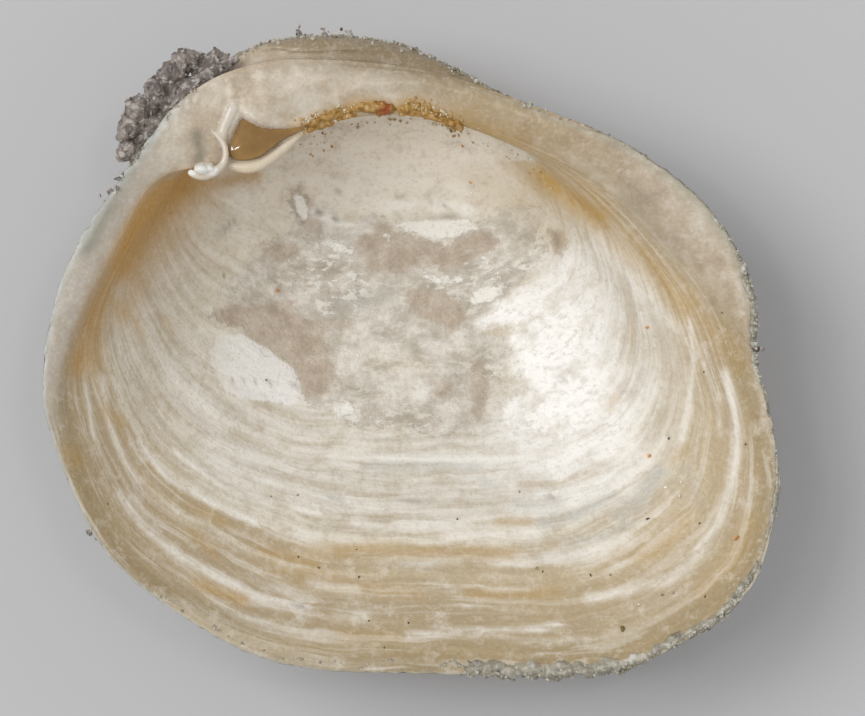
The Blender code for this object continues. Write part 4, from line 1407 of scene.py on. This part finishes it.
class Wires:
    """Adds nodes to one node tree and wires them, a line for each node."""

    def __init__(self, tree):
        self.tree = tree

    def add(self, kind, inputs=None, **settings):
        made = self.tree.nodes.new("ShaderNode" + kind)
        for name, value in settings.items():
            setattr(made, name, value)
        for name, value in (inputs or {}).items():
            if isinstance(value, bpy.types.NodeSocket):
                self.tree.links.new(value, made.inputs[name])
            else:
                made.inputs[name].default_value = value
        return made

    def maths(self, operation, *values):
        return self.add("Math", dict(enumerate(values)), operation=operation).outputs[0]

    def times(self, value, factor):
        return self.maths("MULTIPLY", value, factor)

    def plus(self, total, value, factor):
        """A total with so many times a value added to it."""
        return self.maths("MULTIPLY_ADD", value, factor, total)

    def swing(self, pattern):
        """How far a pattern is from its middle."""
        return self.maths("SUBTRACT", pattern, 0.5)

    def attribute(self, name):
        return self.add("Attribute", attribute_name=name).outputs["Fac"]

    def noise(self, vector, scale, detail=2.0, roughness=0.5):
        inputs = {"Vector": vector, "Scale": scale, "Detail": detail, "Roughness": roughness}
        return self.add("TexNoise", inputs).outputs["Fac"]

    def smooth(self, value, low, high, to_low=0.0, to_high=1.0):
        inputs = {0: value, 1: low, 2: high, 3: to_low, 4: to_high}
        return self.add("MapRange", inputs, interpolation_type="SMOOTHSTEP").outputs[0]

    def mix(self, share, first, second):
        return self.add("Mix", {0: share, 6: first, 7: second}, data_type="RGBA").outputs[2]

    def ramp(self, value, stops):
        made = self.add("ValToRGB", {"Fac": value})
        elements = made.color_ramp.elements
        while len(elements) < len(stops):
            elements.new(0.5)
        for element, (place, colour) in zip(elements, stops):
            element.position = place
            element.color = colour
        return made.outputs["Color"]

    def millimetres(self):
        """Object coordinates in millimetres."""
        place = self.add("TexCoord").outputs["Object"]
        return self.add("VectorMath", {0: place, "Scale": 1 / MM}, operation="SCALE").outputs[0]


def make_mottle():
    """A node group that lays irregular pale and dark specks over a colour, for shell, ligament and sand."""
    group = bpy.data.node_groups.new("mottle", "ShaderNodeTree")
    for name, kind in MOTTLE_INPUTS:
        group.interface.new_socket(name, in_out="INPUT", socket_type=kind)
    group.interface.new_socket("Colour", in_out="OUTPUT", socket_type="NodeSocketColor")
    group.interface.new_socket("Height", in_out="OUTPUT", socket_type="NodeSocketFloat")
    wires = Wires(group)
    given = group.nodes.new("NodeGroupInput").outputs
    pattern = wires.noise(given["Place"], given["Scale"], MOTTLE_DETAIL, given["Roughness"])
    pale_cover = wires.times(wires.smooth(pattern, 0.50, 0.68), given["Pale share"])
    dark_cover = wires.times(wires.smooth(pattern, 0.50, 0.32), given["Dark share"])
    colour = wires.mix(pale_cover, given["Colour"], given["Pale"])
    colour = wires.mix(dark_cover, colour, given["Dark"])
    put_out = group.nodes.new("NodeGroupOutput").inputs
    group.links.new(colour, put_out["Colour"])
    group.links.new(pattern, put_out["Height"])
    return group


MOTTLE = make_mottle()


def mottled(wires, place, colour, scale, pale, pale_share, dark, dark_share, roughness=0.62):
    """The colour with pale and dark specks over it, and the specks' pattern."""
    inputs = {"Place": place, "Scale": scale, "Roughness": roughness, "Colour": colour}
    inputs |= {"Pale": pale, "Pale share": pale_share, "Dark": dark, "Dark share": dark_share}
    made = wires.add("Group", node_tree=MOTTLE, inputs=inputs)
    return made.outputs["Colour"], made.outputs["Height"]


def new_finish(name, roughness, **constants):
    """A material with a Principled shader and its constant values, and wires to build the rest."""
    finish = bpy.data.materials.new(name)
    finish.use_nodes = True
    shader = finish.node_tree.nodes["Principled BSDF"]
    shader.inputs["Roughness"].default_value = roughness
    for socket, value in constants.items():
        shader.inputs[socket.replace("_", " ")].default_value = value
    return finish, shader, Wires(finish.node_tree)


def shell_patterns(wires, place):
    """Patterns that follow the growth lines, the bands and lines calmer towards the umbo, an even grit and
    clouds, and the place itself."""
    split = wires.add("SeparateXYZ", {0: place})
    wander = wires.noise(place, 1.1, 3.0)
    across = wires.plus(wires.attribute("growth"), wires.swing(wander), 0.035)
    across = wires.plus(across, wires.attribute("over_lip"), -0.02)

    def follow(across_scale, drift, detail, roughness):
        parts = {0: wires.times(across, across_scale)}
        parts[1] = wires.times(split.outputs["X"], drift)
        parts[2] = wires.times(split.outputs["Y"], drift)
        return wires.noise(wires.add("CombineXYZ", parts).outputs[0], 1.0, detail, roughness)

    patterns = {name: follow(*values) for name, values in GROWTH_PATTERNS.items()}
    calm = wires.smooth(across, 0.32, 0.54, 0.45, 1.0)
    for name in ("bands", "lines"):
        patterns[name] = wires.plus(0.5, wires.swing(patterns[name]), calm)
    patterns["growth"] = across
    patterns["grit"] = wires.noise(place, 24.0, 3.0, 0.68)
    patterns["clouds"] = wires.noise(place, 2.6, 5.0, 0.66)
    patterns["x"], patterns["y"] = split.outputs["X"], split.outputs["Y"]
    return patterns


def broken(wires, patterns, mask, amount):
    """A soft mask, an amount of it broken up along the growth lines."""
    pattern = wires.plus(wires.times(patterns["blotches"], 0.5), patterns["lines"], 0.5)
    return wires.times(mask, wires.smooth(pattern, 0.40, 0.56, 1.0 - amount, 1.0))


def ragged(wires, patterns, name, raggedness, softness):
    """A patch's mask from its signed distance attribute, with a ragged edge."""
    depth = wires.attribute(name)
    for pattern, share in (("clouds", 1.0), ("blotches", 0.6), ("grit", 0.6)):
        depth = wires.plus(depth, wires.swing(patterns[pattern]), raggedness * share)
    return wires.smooth(depth, -softness, softness)


def stained(wires, patterns, colour, stains):
    """The colour with stains over it, each where its strokes are, some of them painted shade."""
    for name, stain, strength, amount in stains:
        cover = broken(wires, patterns, wires.attribute(name), amount)
        colour = wires.mix(wires.times(cover, strength), colour, stain)
    return colour


def growth_colour(wires, patterns):
    """The growth zones with streaks along them, the finest only on the outer half of the hollow."""
    growth = patterns["growth"]
    zone = wires.plus(growth, wires.swing(patterns["bands"]), 0.05)
    # Near the umbo the zones' colours are painted light, against the shade under the hinge plate
    colour = wires.ramp(zone, SHELL_ZONES_AND_PAINTED_LIGHT)
    outer_half = wires.times(wires.smooth(growth, 0.94, 0.88), wires.smooth(growth, 0.50, 0.72))
    for name, streak, low, high, strength in SHELL_STREAKS:
        cover = wires.smooth(patterns[name], low, high, 0.0, strength)
        if name == "threads":
            cover = wires.times(cover, outer_half)
        colour = wires.mix(cover, colour, streak)
    return colour


def with_chalk(wires, patterns, colour):
    """The colour with the white chalky layer over it and its main patch, whiter on the lit lower right with
    a painted sheen.
    """
    chalk = ragged(wires, patterns, "chalk", 0.26, 0.060)
    chalk = wires.times(chalk, wires.smooth(patterns["x"], 2.15, 1.70))
    chalk = wires.times(chalk, wires.smooth(patterns["blotches"], 0.36, 0.52, 0.55, 1.0))
    chalk = wires.times(chalk, wires.smooth(patterns["y"], 0.95, 0.35, 0.40, 1.0))
    # Painted sheen over the lit lower right, together with the chalk patch
    chalk_and_painted_sheen = wires.maths("MAXIMUM", broken(wires, patterns, wires.attribute("chalk_and_painted_sheen"), 0.60), chalk)
    colour = wires.mix(wires.times(chalk_and_painted_sheen, 0.90), colour, CHALK_WHITE)
    gaps = wires.times(chalk_and_painted_sheen, wires.smooth(patterns["crumbs"], 0.46, 0.36, 0.0, 0.40))
    return wires.mix(gaps, colour, CHALK_GAP), chalk


def with_worn_middle(wires, patterns, colour, chalk, specks):
    """The colour with the worn middle, where the chalky layer has come off in patches, and its masks."""
    worn = wires.times(ragged(wires, patterns, "worn", 0.45, 0.035), wires.maths("SUBTRACT", 1.0, chalk))
    crumbly = wires.smooth(wires.attribute("crumbly"), 0.0, 1.0, 0.35, 0.95)
    crumbs = wires.times(wires.smooth(patterns["crumbs"], 0.50, 0.60), crumbly)
    gaps = wires.times(wires.smooth(patterns["crumbs"], 0.46, 0.36), crumbly)
    ground = wires.mix(crumbs, wires.ramp(patterns["blotches"], WORN_TONES), WORN_CRUMB)
    ground = wires.mix(wires.times(gaps, 0.55), ground, WORN_GAP)
    colour = wires.mix(wires.times(worn, 0.9), colour, ground)
    dun = wires.times(ragged(wires, patterns, "dun", 0.28, 0.040), 0.82)
    colour = wires.mix(dun, colour, wires.ramp(specks, DUN_TONES))
    sheen = ragged(wires, patterns, "sheen", 0.10, 0.018)
    sheen = wires.times(sheen, wires.smooth(patterns["x"], -2.30, -1.50, 0.0, 0.80))
    colour = wires.mix(sheen, colour, SHEEN)
    flake = ragged(wires, patterns, "flake", 0.16, 0.020)
    colour = wires.mix(wires.times(flake, 0.9), colour, FLAKE)
    return colour, {"worn": worn, "flake": flake, "crumbs": crumbs}


def lip_colour(wires, place, patterns):
    """The smooth lip and hinge plate: cloudy, ochre on the right, darker towards the hinge's rim."""
    x, y = patterns["x"], patterns["y"]
    colour = wires.ramp(patterns["clouds"], LIP_CLOUDS)
    colour = wires.mix(wires.smooth(x, -1.9, -2.7, 0.0, 0.65), colour, LIP_LEFT)
    right = wires.times(wires.smooth(x, -0.2, 0.6, 0.0, 0.65), wires.smooth(x, 2.4, 1.0))
    colour = wires.mix(right, colour, LIP_RIGHT)
    rim = wires.smooth(wires.plus(y, x, 0.16), 2.45, 2.80, 0.0, 0.85)
    colour = wires.mix(wires.times(rim, wires.smooth(x, -2.0, -1.2)), colour, LIP_RIM)
    for specks in LIP_SPECKS:
        colour, _ = mottled(wires, place, colour, *specks)
    return stained(wires, patterns, colour, LIP_STAINS)


def with_margin_edge(wires, patterns, colour):
    """The colour with the thin grey edge of the outer margin, bluer on the left."""
    edge = wires.smooth(wires.attribute("growth"), 0.985, 0.998)
    edge = wires.times(edge, wires.smooth(wires.attribute("over_lip"), 0.30, 0.02))
    edge = wires.times(edge, wires.smooth(patterns["y"], 2.6, 2.2, 0.2, 1.0))
    edge_colour = wires.mix(wires.smooth(patterns["x"], -1.5, -2.6), EDGE_RIGHT, EDGE_LEFT)
    return wires.mix(wires.times(edge, 0.60), colour, edge_colour)


def with_tooth(wires, patterns, colour, porcelain):
    """The colour with the porcelain tooth, its creamier ridge and its chalky knob."""
    x, y = patterns["x"], patterns["y"]
    on_ridge = wires.times(wires.smooth(x, -1.85, -1.70), wires.smooth(y, 2.20, 2.05))
    on_ridge = wires.maths("MAXIMUM", on_ridge, wires.smooth(x, -1.50, -1.40))
    tooth_colour = wires.mix(on_ridge, TOOTH_COLOUR, RIDGE_COLOUR)
    colour = wires.mix(wires.times(porcelain, 0.85), colour, tooth_colour)
    knob = wires.times(porcelain, wires.smooth(wires.attribute("white"), 0.3, 0.8))
    return wires.mix(knob, colour, KNOB_COLOUR)


def shell_relief(wires, patterns, masks, lip):
    """The finest relief of the shell, as a height in millimetres."""
    height = wires.times(patterns["lines"], 0.010)
    height = wires.plus(height, patterns["blotches"], 0.016)
    height = wires.plus(height, patterns["grit"], 0.008)
    height = wires.plus(height, wires.times(masks["crumbs"], masks["worn"]), 0.006)
    height = wires.plus(height, masks["worn"], -0.006)
    height = wires.plus(height, masks["flake"], 0.008)
    height = wires.plus(height, wires.attribute("white"), 0.006)
    height = wires.times(height, wires.smooth(lip, 0.0, 1.0, 1.0, 0.35))
    return wires.plus(height, wires.times(patterns["clouds"], lip), 0.020)


def shell_finish():
    """Chalk and porcelain: growth lines, stains, painted shade and light, a worn middle, a smoother lip and
    tooth.
    """
    finish, shader, wires = new_finish("shell_chalk_and_porcelain", 0.42)
    place = wires.millimetres()
    patterns = shell_patterns(wires, place)
    lip, porcelain = wires.attribute("lip"), wires.attribute("porcelain")
    colour, specks = mottled(wires, place, growth_colour(wires, patterns), *SHELL_SPECKS)
    colour, chalk = with_chalk(wires, patterns, colour)
    colour, masks = with_worn_middle(wires, patterns, colour, chalk, specks)
    colour = stained(wires, patterns, colour, SHELL_STAINS)
    colour, _ = mottled(wires, place, colour, *SHELL_GRIT)
    colour = wires.mix(wires.times(lip, 0.94), colour, lip_colour(wires, place, patterns))
    colour = with_margin_edge(wires, patterns, colour)
    colour = with_tooth(wires, patterns, colour, porcelain)
    wires.tree.links.new(colour, shader.inputs["Base Color"])
    height = shell_relief(wires, patterns, masks, lip)
    bump = wires.add("Bump", {"Strength": 1.0, "Distance": MM, "Height": height})
    wires.tree.links.new(bump.outputs[0], shader.inputs["Normal"])
    dullness = wires.smooth(patterns["blotches"], 0.35, 0.65, 0.50, 0.36)
    dullness = wires.plus(wires.plus(dullness, lip, -0.10), porcelain, -0.20)
    wires.tree.links.new(dullness, shader.inputs["Roughness"])
    return finish


def gum_finish():
    """Dried ligament gum: dark amber, glassy."""
    finish, shader, wires = new_finish("ligament_gum_amber", 0.06, Coat_Weight=1.0, Coat_Roughness=0.02)
    depth = wires.noise(wires.millimetres(), 5.0, 3.0)
    colour = wires.mix(wires.smooth(depth, 0.35, 0.65), *GUM_TONES)
    wires.tree.links.new(colour, shader.inputs["Base Color"])
    return finish


def thread_finish():
    """Dry ligament: ochre crumbs and fibres, with a red-brown lump."""
    finish, shader, wires = new_finish("ligament_dry_ochre", 0.45, **DRY_LIGAMENT_GLOW)
    place = wires.millimetres()
    colour = wires.ramp(wires.noise(place, 16.0, 4.0, 0.66), THREAD_TONES)
    colour, _ = mottled(wires, place, colour, *THREAD_SPECKS)
    lump = wires.add("VectorMath", {0: place, 1: RED_LUMP}, operation="DISTANCE").outputs["Value"]
    colour = wires.mix(wires.smooth(lump, RED_LUMP_REACH[1], RED_LUMP_REACH[0]), colour, RED_LUMP_COLOUR)
    wires.tree.links.new(colour, shader.inputs["Base Color"])
    return finish


def crumb_finish():
    """Dry crumbs of ligament, each of its own tone."""
    finish, shader, wires = new_finish("ligament_crumb_ochre", 0.40, **DRY_LIGAMENT_GLOW)
    wires.tree.links.new(wires.ramp(wires.attribute("tone"), CRUMB_TONES), shader.inputs["Base Color"])
    return finish


def sand_finish(name, tones, roughness):
    """Wet-looking mineral grains, each of its own tone."""
    finish, shader, wires = new_finish(name, roughness, **SAND_GLOW)
    colour = wires.ramp(wires.attribute("tone"), tones)
    colour, height = mottled(wires, wires.millimetres(), colour, *SAND_SPECKS)
    wires.tree.links.new(colour, shader.inputs["Base Color"])
    bump = wires.add("Bump", {"Strength": 0.6, "Distance": 0.02 * MM, "Height": height})
    wires.tree.links.new(bump.outputs[0], shader.inputs["Normal"])
    return finish


def make_floor():
    """The plain pale floor that the shell rests on."""
    bpy.ops.object.select_all(action="DESELECT")
    bpy.ops.mesh.primitive_plane_add(size=FLOOR_SIZE)
    floor = bpy.context.object
    floor.name = "floor"
    finish, shader, _ = new_finish("floor_pale_grey", 0.8)
    shader.inputs["Base Color"].default_value = FLOOR_GREY
    floor.data.materials.append(finish)


def add_light(name, azimuth, elevation, distance, size, power):
    """A square soft light on the shell, its azimuth turning from the bottom of the picture to the right."""
    data = bpy.data.lights.new(name, "AREA")
    data.size = size
    data.energy = power
    light = bpy.data.objects.new(name, data)
    bpy.context.collection.objects.link(light)
    turn, rise = math.radians(azimuth), math.radians(elevation)
    place = Vector((math.cos(rise) * math.sin(turn), -math.cos(rise) * math.cos(turn), math.sin(rise)))
    light.location = place * distance
    light.rotation_euler = place.to_track_quat("Z", "Y").to_euler()


def make_lights():
    """A soft key light from the left, two small ones for the glints in the gum, and a white surround."""
    for light in LIGHTS:
        add_light(*light)
    world = bpy.data.worlds.new("studio")
    world.use_nodes = True
    surround = world.node_tree.nodes["Background"].inputs
    surround["Color"].default_value = SURROUND_WHITE
    surround["Strength"].default_value = SURROUND_STRENGTH
    bpy.context.scene.world = world


def make_camera():
    """Straight above the shell, as the picture was taken, with the picture's frame and scale."""
    data = bpy.data.cameras.new("camera")
    data.lens = LENS
    data.clip_start = CLIP_START
    data.clip_end = CLIP_END
    camera = bpy.data.objects.new("camera", data)
    bpy.context.collection.objects.link(camera)
    x = (PICTURE_CENTRE[0] - SHELL_PIXEL[0]) / PIXELS_PER_MM + SHELL_ORIGIN[0]
    y = (SHELL_PIXEL[1] - PICTURE_CENTRE[1]) / PIXELS_PER_MM + SHELL_ORIGIN[1]
    z = SHELL_ORIGIN[2] + PICTURE_WIDTH / PIXELS_PER_MM * LENS / data.sensor_width
    camera.location = (x * MM, y * MM, z * MM)
    bpy.context.scene.camera = camera


make_camera()
make_lights()
make_floor()
valve = make_valve(shell_finish())
skin = skin_of(valve)
sand = sand_finish("sand_grey_brown", SAND_TONES_WITH_PAINTED_SHADE, 0.30)
crust = sand_finish("crust_grey_clear", CRUST_TONES, 0.22)
outline = crust_path(valve)
make_gum(gum_finish())
make_shred(thread_finish())
make_crumbs(skin, crumb_finish())
make_specks(skin, sand_finish("specks_ochre_dark", SPECK_TONES, 0.25))
make_clump(sand)
make_single_grains(sand)
make_crust(crust, outline, valve, make_crust_skin(crust, outline))
bpy.context.scene.view_settings.view_transform = "Standard"
